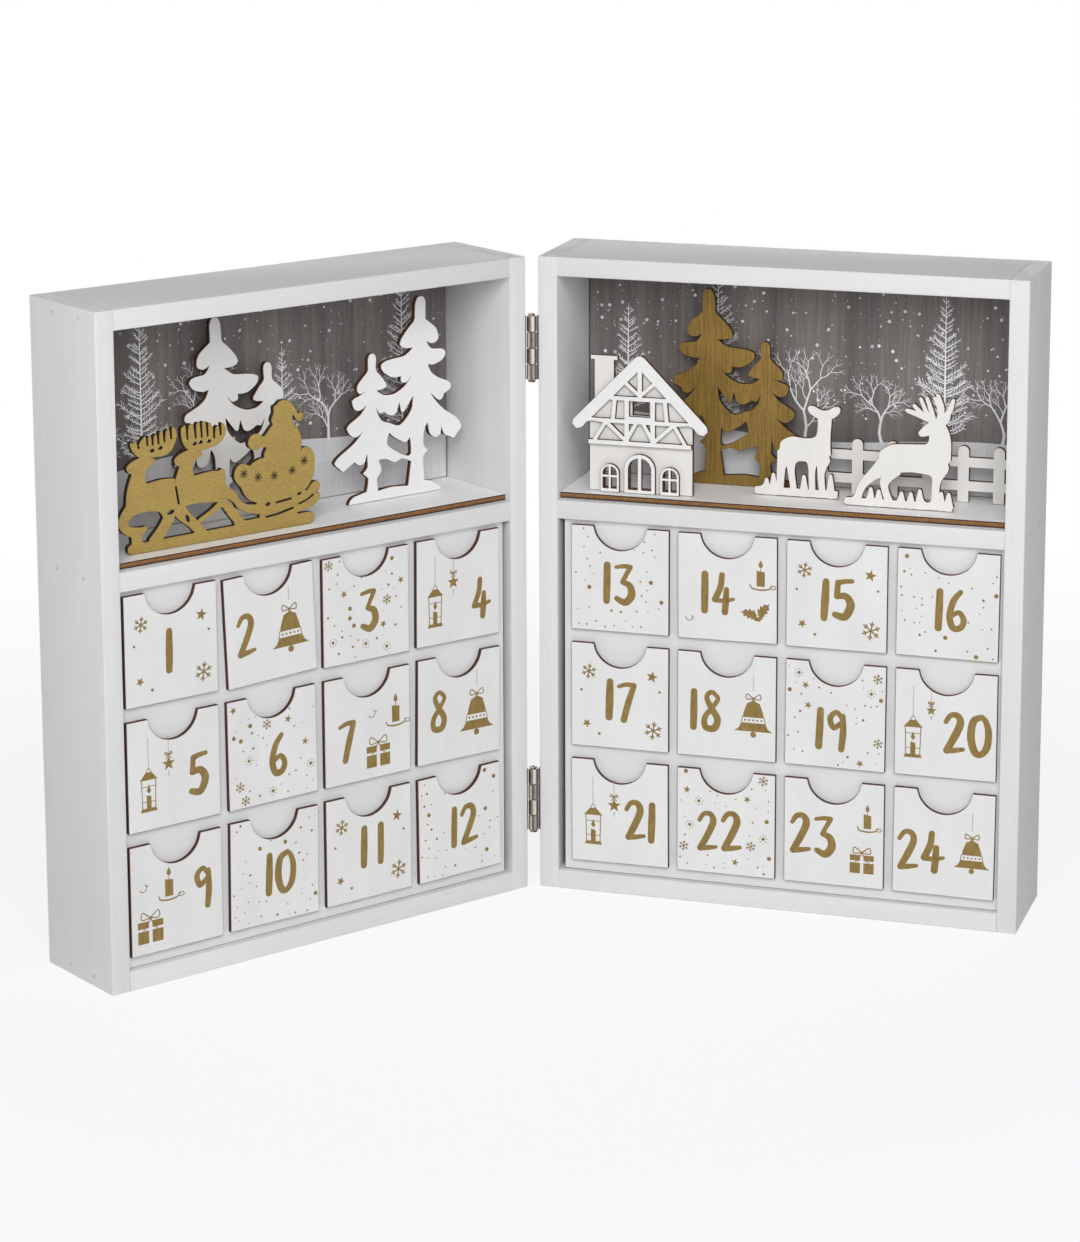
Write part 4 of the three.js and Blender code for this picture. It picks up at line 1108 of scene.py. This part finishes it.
def number_width(text):
    return sum(DIGITS[d][1] for d in text) + digit_gap(text) * (len(text) - 1)


def write_number(art, number, x, z):
    """Centred on x, z, each digit a little different"""
    rng = random.Random(number)
    text = str(number)
    cursor = x - number_width(text) / 2
    for digit in text:
        strokes, width = DIGITS[digit]
        lean = rng.uniform(-0.02, 0.02)
        foot = z - DIGIT_FIELD / 2 + rng.uniform(-0.5, 0.5)
        swell = rng.uniform(1.02, 1.14)
        for points in strokes:
            moved = [(cursor + px + lean * (pz - DIGIT_FIELD / 2), foot + pz) for px, pz, _ in points]
            art.stroke(moved, [w * swell * rng.uniform(0.95, 1.05) for _, _, w in points], 1.0, 7, 4)
        cursor += width + digit_gap(text)


# Small printed motifs, each about a middle, with points as shares of its size
def flake(art, x, z, radius, width=0.5):
    for i in range(3):
        angle = math.pi * i / 3 + 0.15
        art.ray(x, z, angle, radius, width)
        for heading in (angle + math.pi, angle):
            root = away(x, z, heading, radius * 0.55)
            for turn in (-0.75, 0.75):
                tip = away(*root, heading + turn, radius * 0.34)
                art.stroke([root, tip], [width * 0.9, width * 0.8], caps=2)


def hanger(art, x, low, high):
    """A dotted thread"""
    z = low
    while z < high:
        art.dot(x, z, 0.27, 1.0, 8)
        z += 1.05


def bow(art, x, z, size):
    for side in (-1, 1):
        loop = [(0, 0), (side, 0.7), (side * 1.1, -0.1), (0, 0)]
        end = [(0, 0), (side * 0.5, -1), (side * 0.9, -1.3)]
        art.stroke(sized(loop, x, z, size), [0.5, 0.5], caps=2)
        art.stroke(sized(end, x, z, size), [0.5, 0.4])
    art.dot(x, z, 0.65)


def bell(art, x, z, size, top):
    """A bell under a bow, its skirt left open in a band"""
    crown = [(0, 1), (0.34, 0.86), (0.5, 0.42), (0.58, 0.1)]
    skirt = [(0.64, -0.2), (0.78, -0.48), (1.02, -0.66)]
    art.shape(sized(crown[::-1] + mirrored(crown[1:]), x, z, size))
    art.shape(sized(skirt[::-1] + mirrored(skirt), x, z, size))
    for side in (-1, 1):
        art.stroke(sized([(side * 0.58, 0.12), (side * 0.65, -0.22)], x, z, size), [0.4, 0.4])
    for i in range(-2, 3):
        art.dot(x + i * size * 0.22, z - size * 0.05, size * 0.055)
    art.dot(x, z - size * 0.82, size * 0.16)
    bow(art, x, z + size * 1.12, size * 0.34)
    hanger(art, x, z + size * 1.6, top)


def icicle_lantern(art, x, z, size, top):
    """A hanging lantern: a hat, four panes round a candle, and a foot"""
    hat = [(-0.5, 0.62), (0.5, 0.62), (0.16, 1.0), (-0.16, 1.0)]
    foot = [(-0.46, -0.96), (0.46, -0.96), (0.4, -0.78), (-0.4, -0.78)]
    wax = [(-0.13, -0.78), (0.13, -0.78), (0.13, -0.2), (-0.13, -0.12)]
    flame = [(0, -0.06), (0.12, 0.08), (0, 0.4), (-0.12, 0.1)]
    ring = [(-0.14, 1.02), (0, 1.2), (0.14, 1.02)]
    for outline in (hat, foot):
        art.shape(sized(outline, x, z, size))
    for px in (-0.4, 0.4):
        art.stroke(sized([(px, 0.64), (px * 0.9, -0.8)], x, z, size), [0.42, 0.42])
    for pz in (0.3, -0.46):
        art.stroke(sized([(-0.38, pz), (0.38, pz)], x, z, size), [0.3, 0.3])
    for outline in (wax, flame):
        art.shape(sized(outline, x, z, size))
    art.stroke(sized(ring, x, z, size), [0.36, 0.36])
    hanger(art, x, z + 1.26 * size, top)


def star_drop(art, x, z, size, top):
    """A small five-pointed star on a thread, with a bow"""
    art.star(x, z, size, size * 0.42, 5)
    bow(art, x, z + size * 1.25, size * 0.42)
    hanger(art, x, z + size * 1.7, top)
    for i in range(3):
        art.dot(x, z - size * (1.1 + 0.28 * i), 0.34 - 0.06 * i)


def candle(art, x, z, size):
    """A candle in a saucer with a flame"""
    wax = [(-0.24, -0.5), (0.24, -0.5), (0.24, 0.34), (-0.24, 0.42)]
    flame = [(0, 0.56), (0.13, 0.68), (0.1, 0.84), (0, 1.04), (-0.12, 0.82), (-0.12, 0.66)]
    saucer = [(-0.62, -0.42), (-0.5, -0.62), (0, -0.7), (0.5, -0.62), (0.62, -0.42)]
    handle = [(0.55, -0.5), (0.82, -0.44), (0.86, -0.6), (0.6, -0.62)]
    art.shape(sized(wax, x, z, size))
    art.stroke(sized([(0, 0.36), (0, 0.54)], x, z, size), [0.35, 0.3])
    art.shape(sized(flame, x, z, size))
    art.stroke(sized(saucer, x, z, size), [0.5, 0.8, 0.5])
    art.stroke(sized(handle, x, z, size), [0.4, 0.4])


def holly(art, x, z, size, turn):
    """Two toothed leaves and three berries"""
    half = [(0.12, 0.1), (0.34, 0.36), (0.42, 0.2), (0.62, 0.36), (0.7, 0.18), (0.9, 0.26), (0.98, 0.08)]
    leaf = [(0.04, 0)] + half + [(1.2, 0)] + [(a, -b) for a, b in half[::-1]]
    for side in (-1, 1):
        angle = turn + side * 1.05
        ahead, across = away(0, 0, angle, 1), away(0, 0, angle + math.pi / 2, 1)
        turned = [(ahead[0] * a + across[0] * b, ahead[1] * a + across[1] * b) for a, b in leaf]
        art.shape(sized(turned, x, z, size))
    for i in range(3):
        art.dot(*away(x, z, turn + math.pi + (i - 1) * 0.9, size * 0.22), size * 0.15)


def parcel(art, x, z, size):
    """A wrapped box with ribbon and bow"""
    for x0, x1 in ((-1, -0.14), (0.14, 1)):
        for z0, z1 in ((-1, -0.1), (0.08, 0.56)):
            art.shape(sized([(x0, z0), (x1, z0), (x1, z1), (x0, z1)], x, z, size * 0.8))
    bow(art, x, z + size * 0.62, size * 0.5)


def curl(art, x, z, size, turn):
    """A loose end of ribbon"""
    c, s = math.cos(turn), math.sin(turn)
    points = []
    for i in range(12):
        t = i / 11
        angle = turn + t * 9.4
        a, b = (t - 0.5) * 2 + math.cos(angle) * 0.3, math.sin(angle) * 0.42
        points.append((a * c - b * s, a * s + b * c))
    art.stroke(sized(points, x, z, size), [0.34, 0.4, 0.34], 1.0, 3, 2)


def small_star(art, rng, x, z, kind):
    """A flake, a plain star or a ring of dots"""
    if kind == 0:
        flake(art, x, z, STAR_RADIUS, 0.4)
    elif kind == 1:
        art.star(x, z, 1.9, 0.75, 5, rng.uniform(0, 1))
    else:
        for place in sized(circle(8), x, z, 1.8):
            art.dot(*place, 0.28, 1.0, 8)
        art.dot(x, z, 0.8)


# Scattered dots and stars: how many, and their radii and margins in millimetres
DOTS = 38
DOT_TRIES = 900
DOT_RADII = (0.28, 0.28, 0.36, 0.36, 0.44, 0.44, 0.6, 1.0)
DOT_MARGIN = 1.4
DOT_GAP = 1.8
STAR_RADIUS = 2.3
STAR_MARGIN = 3.2
NUMBER_MARGIN = (0.6, 1.4)
NOTCH_RISE = 3
NOTCH_MARGIN = 1.1


def within(value, edge, size):
    return min(max(value, edge), size - edge)


def scatter(art, rng, width, height, number, stars):
    """Dots and small stars all over a front, but not under its number or in its notch"""
    cx, cz = NUMBERS[number]
    clear_w = number_width(str(number)) / 2 + NUMBER_MARGIN[0]
    clear_h = DIGIT_FIELD / 2 + NUMBER_MARGIN[1]
    notch_reach = NOTCH_WIDTH / MM / 2 + NOTCH_MARGIN
    placed = []
    tries = 0
    while len(placed) < DOTS and tries < DOT_TRIES:
        tries += 1
        radius = rng.choice(DOT_RADII)
        x, z = (rng.uniform(DOT_MARGIN, size - DOT_MARGIN) for size in (width, height))
        if len(placed) < stars:
            radius = STAR_RADIUS
            x, z = within(x, STAR_MARGIN, width), within(z, STAR_MARGIN, height)
        on_number = abs(x - cx) < clear_w + radius and abs(z - cz) < clear_h + radius
        on_notch = math.hypot(x - width / 2, z - height - NOTCH_RISE) < notch_reach + radius
        if on_number or on_notch:
            continue
        if any(math.hypot(x - px, z - pz) < DOT_GAP + radius + other for px, pz, other in placed):
            continue
        placed.append((x, z, radius))
        if len(placed) <= stars:
            small_star(art, rng, x, z, len(placed) % 3)
        else:
            art.dot(x, z, radius)


def few_stars(art):
    flake(art, 8.4, 36, 3.4, 0.6)
    flake(art, 39.4, 10, 4.2, 0.65)
    art.star(38.8, 35.6, 2.9, 1.2, 5, 0.2)
    art.star(7.4, 11, 2.2, 0.95, 5, 0.5)
    for place in ((13.4, 6.4, 0.7), (42.4, 28.6, 0.6), (4.8, 27, 0.6)):
        art.dot(*place)


# Places in millimetres from the lower left corner of a front: numbers, bells with their sizes, and
# lanterns with their stars. Then how many small stars lie among the dots, and how askew fronts hang.
NUMBERS = {
    1: (22.2, 22), 2: (10.2, 22.4), 3: (24.6, 22.4), 4: (36.2, 18.6), 5: (35.4, 20.2), 6: (26, 20.7),
    7: (11.8, 20), 8: (11.6, 23.6), 9: (36.6, 24.4), 10: (26.4, 22.6), 11: (25, 24.4), 12: (25.6, 23),
    13: (22.6, 22.8), 14: (18.6, 22), 15: (23.6, 23.4), 16: (24.6, 22.4), 17: (23.6, 23), 18: (13.2, 22),
    19: (21.4, 18), 20: (33.2, 21.2), 21: (33, 21.6), 22: (20, 20.4), 23: (13, 23), 24: (12.6, 20),
}
BELLS = {2: (33.4, 19.6, 9.4), 8: (33.4, 18.6, 9.4), 18: (36, 19.6, 8.8), 24: (36.4, 19.6, 8)}
LANTERNS = {n: (10.4, (20.6, 28, 3.4)) for n in (4, 5, 21)} | {20: (8.4, (16.6, 31, 2.6))}
SCATTERED = {3: 8, 6: 9, 10: 0, 12: 0, 13: 0, 16: 0, 19: 7, 22: 9}
TILTS = {2: 2.2, 4: -0.5, 6: 0.5, 8: -0.9, 10: -0.6, 12: 0.5, 14: 0.4, 16: -0.4, 19: -0.3, 21: 0.3, 24: -0.4}


def draw_motifs(art, number, width, height):
    if number in SCATTERED:
        scatter(art, random.Random(100 + number), width, height, number, SCATTERED[number])
    elif number in BELLS:
        bell(art, *BELLS[number], height - 9)
    elif number in LANTERNS:
        lantern_x, drop = LANTERNS[number]
        icicle_lantern(art, lantern_x, 17, 9, height - 8)
        star_drop(art, *drop, height - 9)
    elif number in (1, 11, 15, 17):
        few_stars(art)
    elif number in (7, 9):
        x = 32 if number == 7 else 12.6
        parcel(art, x - 3, 11.4, 8)
        candle(art, x + 6.8, 28.4, 8.6)
        curl(art, x - 5.6, 30, 2.6, 0.7)
    elif number == 14:
        candle(art, 39, 30.6, 8)
        holly(art, 37.6, 12.6, 7, -0.3)
        curl(art, 5.6, 9.6, 2.4, 0.3)
    else:
        parcel(art, 36.6, 12.4, 7)
        candle(art, 39, 32, 7.4)


# Drawers
def tray_panel(length, height, first):
    """The outline of a tray wall whose upright ends have fingers; first says which ones stand out."""
    step = height / TRAY_FINGERS
    rising = []
    for i in range(TRAY_FINGERS):
        x = length / 2 if (i % 2 == 0) == first else length / 2 - TRAY_WALL
        rising += [Vector((x, z * step - height / 2)) for z in (i, i + 1)]
    return clean(rising + [Vector((-p.x, p.y)) for p in reversed(rising)])


def build_tray(low, high):
    """A laser-cut tray of five finger-jointed plywood panels, about the middle of its box"""
    mesh = new_mesh()
    width, depth, height = high - low
    front = tray_panel(width, height, True)
    side = [Vector((-p.x, p.y)) for p in reversed(tray_panel(depth, height, False))]
    quarter = Matrix.Rotation(math.radians(90), 4, "Z")
    for sign in (-1, 1):
        for loop, reach, turn in ((front, depth, None), (side, width, quarter)):
            outer = sign * reach / 2
            near, far = sorted((outer, outer - sign * TRAY_WALL))
            slab(mesh, [loop], near, far, TRAY_EDGE, turn)
    w, d = width / 2 - TRAY_WALL - TRAY_EDGE, depth / 2 - TRAY_WALL - TRAY_EDGE
    base = [Vector(p) for p in ((-w, -d), (w, -d), (w, d), (-w, d))]
    lay = Matrix.Translation((0, 0, -height / 2)) @ Matrix.Rotation(math.radians(90), 4, "X")
    slab(mesh, [base], -TRAY_WALL, 0, TRAY_EDGE, lay)
    return mesh


def drawer(number):
    """A painted front, its print, and a plywood tray behind it"""
    node = f"drawer_{number:02d}"
    name = node.replace("_", "-")
    case = LEFT if number <= 12 else RIGHT
    points = case.points(node)
    loops, front, _ = outline_of(case, node, 5)
    back = max(p.y for p in points if p.y < front + PLATE_BACK)
    corner, far = span([p for p in points if p.y < front + NOTCH_FLOOR])
    middle = (corner + far) / 2
    tilt = Matrix.Rotation(math.radians(-TILTS.get(number, 0)), 4, "Y")
    tilt = Matrix.Translation(middle) @ tilt @ Matrix.Translation(-middle)
    mesh = new_mesh()
    slab(mesh, loops, front, back, PLATE_EDGE)
    upright_grain(mesh, wood_shift(node), front)
    piece(f"{name}-front", mesh, case, node, ["white_sheet", "sheet_edge"], "white_ply", [node], tilt)
    art = Print(front)
    write_number(art, number, *NUMBERS[number])
    draw_motifs(art, number, (far.x - corner.x) / MM, (far.z - corner.z) / MM)
    place = tilt @ Matrix.Translation((corner.x, 0, corner.z))
    art.finish(f"{name}-print", case, node, "gold_ink", "gold_ply", node, place)
    low, high = span([p for p in points if p.y > front + TRAY_START])
    low.y = back + TRAY_GAP
    tray = build_tray(low, high)
    shift = wood_shift(node)
    set_grain(tray, lambda p: (p.y + shift, p.z + p.x, 0.001))
    place = Matrix.Translation((low + high) / 2)
    piece(f"{name}-tray", tray, case, node, ["bare_ply", "ply_edge"], "bare_ply", (), place)


def sleigh_stars():
    """Five stars burnt into the side of the sleigh"""
    low, _ = LEFT.box("sleigh_team")
    art = Print(low.y)
    for x, z in ((64, 27.3), (71.3, 24.8), (79.8, 24.3), (89.2, 25.4), (95.6, 28.8)):
        for i in range(4):
            art.ray(low.x / MM + x, low.z / MM + z, math.pi * i / 4 + 0.1, 1.9, 0.5)
    art.finish("sleigh-stars", LEFT, LEFT.body, "burnt_mark", "gold_ply", "stars")


# Hinges
def tube(mesh, low, high, radius, inner, edge=BARREL_EDGE):
    """Adds a round barrel about the upright axis, its rims eased."""
    profile = ((inner, low), (radius - edge, low), (radius, low + edge),
               (radius, high - edge), (radius - edge, high), (inner, high))
    rings = [[mesh.verts.new((r * x, r * y, z)) for x, y in circle(BARREL_SIDES)] for r, z in profile]
    join(mesh, rings + [rings[0]])


def hinge_leaf(node, case, foot, length):
    """A leaf on its case: a plate with every second knuckle and two screws"""
    turn = Matrix.Rotation(math.atan2(case.to_row[1][0], case.to_row[0][0]), 4, "Z")
    place = foot @ turn
    plate = abs((case.to_case @ place).translation.x) - HINGE_CLEARANCE
    inner = case.side * (plate - HINGE_PLATE)
    near, far = sorted((case.side * plate, inner))
    mesh = new_mesh()
    low = Vector((near, KNUCKLE_RADIUS * 0.6, HINGE_PLATE_FOOT))
    rounded_box(mesh, low, Vector((far, HINGE_PLATE_DEPTH, length)), HINGE_PLATE_EDGE, 2)
    pitch = length / KNUCKLE_COUNT
    for i in range(0 if case.side > 0 else 1, KNUCKLE_COUNT, 2):
        knuckle_low, knuckle_high = i * pitch + KNUCKLE_GAP / 2, (i + 1) * pitch - KNUCKLE_GAP / 2
        tube(mesh, knuckle_low, knuckle_high, KNUCKLE_RADIUS, KNUCKLE_BORE)
    for end in (-1, 1):
        centre = Vector((inner, SCREW_DEPTH, length / 2 + end * SCREW_PITCH / 2))
        button(mesh, centre, -case.side, SCREW_RADIUS, SCREW_PROFILE, 24, SCREW_CROSS)
    upright_grain(mesh)
    piece(node.replace("_", "-"), mesh, None, case.body, ["nickel"], "nickel", [node], place)


def hinge_pin(node, foot, length):
    """A pin through the knuckles, with a head at each end"""
    mesh = new_mesh()
    low, high = -PIN_PLAY - PIN_HEAD_HEIGHT, length + PIN_PLAY
    tube(mesh, low, high + PIN_HEAD_HEIGHT, PIN_RADIUS, PIN_BORE)
    for start in (low, high):
        tube(mesh, start, start + PIN_HEAD_HEIGHT, PIN_HEAD_RADIUS, PIN_BORE, PIN_HEAD_EDGE)
    upright_grain(mesh)
    bodies = frame["record"]["behaviour"]["bodies"]
    body = next(name for name, members in bodies.items() if node in members)
    piece(node.replace("_", "-"), mesh, None, body, ["nickel"], "nickel", [node], foot)


def hinge(name):
    pin_low, pin_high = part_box(f"{name}_pin")
    axis = (pin_low + pin_high) / 2
    length = pin_high.z - pin_low.z - 2 * (PIN_HEAD_HEIGHT + PIN_PLAY)
    foot = Matrix.Translation((axis.x, axis.y, axis.z - length / 2))
    for case in CASES:
        hinge_leaf(f"{name}_{case.name}_leaf", case, foot, length)
    hinge_pin(f"{name}_pin", foot, length)


# Everything in its place
for one in CASES:
    for part_name in ("outer_side", "hinge_side"):
        upright(one, part_name)
    for part_name in ("top", "bottom", "mid_rail"):
        level(one, part_name)
    nails(one)
    shelf(one)
    for part_name, paint, edge, slot_name in (("drawer_face", "white_paint", "sheet_edge", "white_ply"),
                                              ("drawer_crate", "bare_ply", "ply_edge", "bare_ply")):
        cut_out(one, f"{one.name}_{part_name}", [paint, edge], slot_name, level_grain, fine=False)
back_panel(LEFT, [(0.2, 66, 1.0), (0.56, 44, 0.8), (0.88, 72, 0.95)],
           [(0.34, 14, 0.9), (0.68, 11, 0.85), (0.08, 10, 0.75)], left_crest)
back_panel(RIGHT, [(0.09, 52, 0.9), (0.3, 74, 0.9), (0.82, 68, 1.0)],
           [(0.5, 15, 0.95), (0.68, 11, 0.85), (0.95, 11, 0.85)], right_crest)
for drawer_number in range(1, 25):
    drawer(drawer_number)
for part_name in ("white_trees_far", "white_trees_near"):
    cut_out(LEFT, part_name, ["snow_sheet", "figure_edge"], "white_ply")
cut_out(LEFT, "sleigh_team", ["gold", "gold_edge"], "gold_ply", level_grain, team_outline)
cut_out(RIGHT, "gold_trees", ["old_gold", "gold_edge"], "gold_ply")
for part_name, redraw in (("doe", doe_outline), ("stag", soft_outlines), ("fence", None),
                          ("house_wall", None)):
    cut_out(RIGHT, part_name, ["warm_sheet", "figure_edge"], "white_ply", redraw=redraw)
for part_name in ("house_timbers", "house_door", "house_window_left", "house_window_right"):
    cut_out(RIGHT, part_name, ["snow_sheet", "ply_edge"], "white_ply")
sleigh_stars()
for part_name in ("upper_hinge", "lower_hinge"):
    hinge(part_name)


# Floor, background, lamps and camera
def floor():
    """A pale disc that fades to pure white away from the calendar"""
    mesh = bmesh.new()
    bmesh.ops.create_circle(mesh, cap_ends=True, segments=96, radius=30)
    item = add_mesh("floor", mesh)
    item.location.z = -0.2 * MM
    s = Material("floor")
    s.set(Base_Color=(0.9, 0.9, 0.9, 1), Roughness=0.9, Specular_IOR_Level=0.1)
    reach = s.add("VectorMath", {0: s.add("TexCoord").outputs["Object"]}, operation="LENGTH").outputs["Value"]
    limits = {"From Min": 0.3, "From Max": 0.75, "To Min": 0.84, "To Max": 1.0}
    fade = s.add("MapRange", {"Value": reach, **limits}).outputs[0]
    glow = s.add("Emission", {"Color": (1, 1, 1, 1), "Strength": 1.0}).outputs[0]
    shares = {0: s.maths("MULTIPLY", s.seen(), fade), 1: s.surface.outputs[0], 2: glow}
    blend = s.add("MixShader", shares).outputs[0]
    s.fill(s.tree.nodes["Material Output"], {"Surface": blend})
    item.data.materials.append(s.material)
    item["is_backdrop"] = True


def background(strength):
    """Light of a strength all round, which looks pure white itself"""
    world = bpy.data.worlds.new("studio")
    bpy.context.scene.world = world
    world.use_nodes = True
    sky = Nodes(world.node_tree)
    glow = sky.add("MapRange", {"Value": sky.seen(), "To Min": strength, "To Max": 1.0}).outputs[0]
    sky.fill(world.node_tree.nodes["Background"], {"Color": (1, 1, 1, 1), "Strength": glow})


def lamp(name, place, target_height, size, power):
    data = bpy.data.lights.new(name, "AREA")
    data.shape = "RECTANGLE"
    data.size, data.size_y = size
    data.energy = power
    item = add_item(name, data)
    item.location = place
    aim = Vector((0, 0, target_height)) - Vector(place)
    item.rotation_euler = aim.to_track_quat("-Z", "Y").to_euler()


def camera():
    data = bpy.data.cameras.new("camera")
    data.lens = CAMERA_LENS
    data.sensor_fit = "AUTO"
    data.sensor_width = 36
    data.shift_x, data.shift_y = CAMERA_SHIFT
    data.clip_start, data.clip_end = 0.05, 60
    item = add_item("camera", data)
    item.location = CAMERA_PLACE
    item.rotation_euler = (math.radians(90 - CAMERA_DOWN), 0, math.radians(-CAMERA_TURN))
    bpy.context.scene.camera = item


floor()
background(0.17)
lamp("key", (-0.35, -1.95, 1.32), 0.12, (1.3, 1.3), 34)
lamp("fill", (0.6, -2.0, 0.6), 0.14, (1.4, 1.4), 4)
lamp("side", (-2.0, -0.2, 0.4), 0.14, (1.2, 1.2), 4.5)
lamp("back", (0.4, 2.2, 0.3), 0.14, (1.4, 0.5), 13)
camera()
bpy.context.scene.view_settings.view_transform = "Standard"

visual_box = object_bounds()
boxes = {"cad": cad_box, "visual": visual_box}
{name: [list(corner) for corner in pair] for name, pair in boxes.items()}
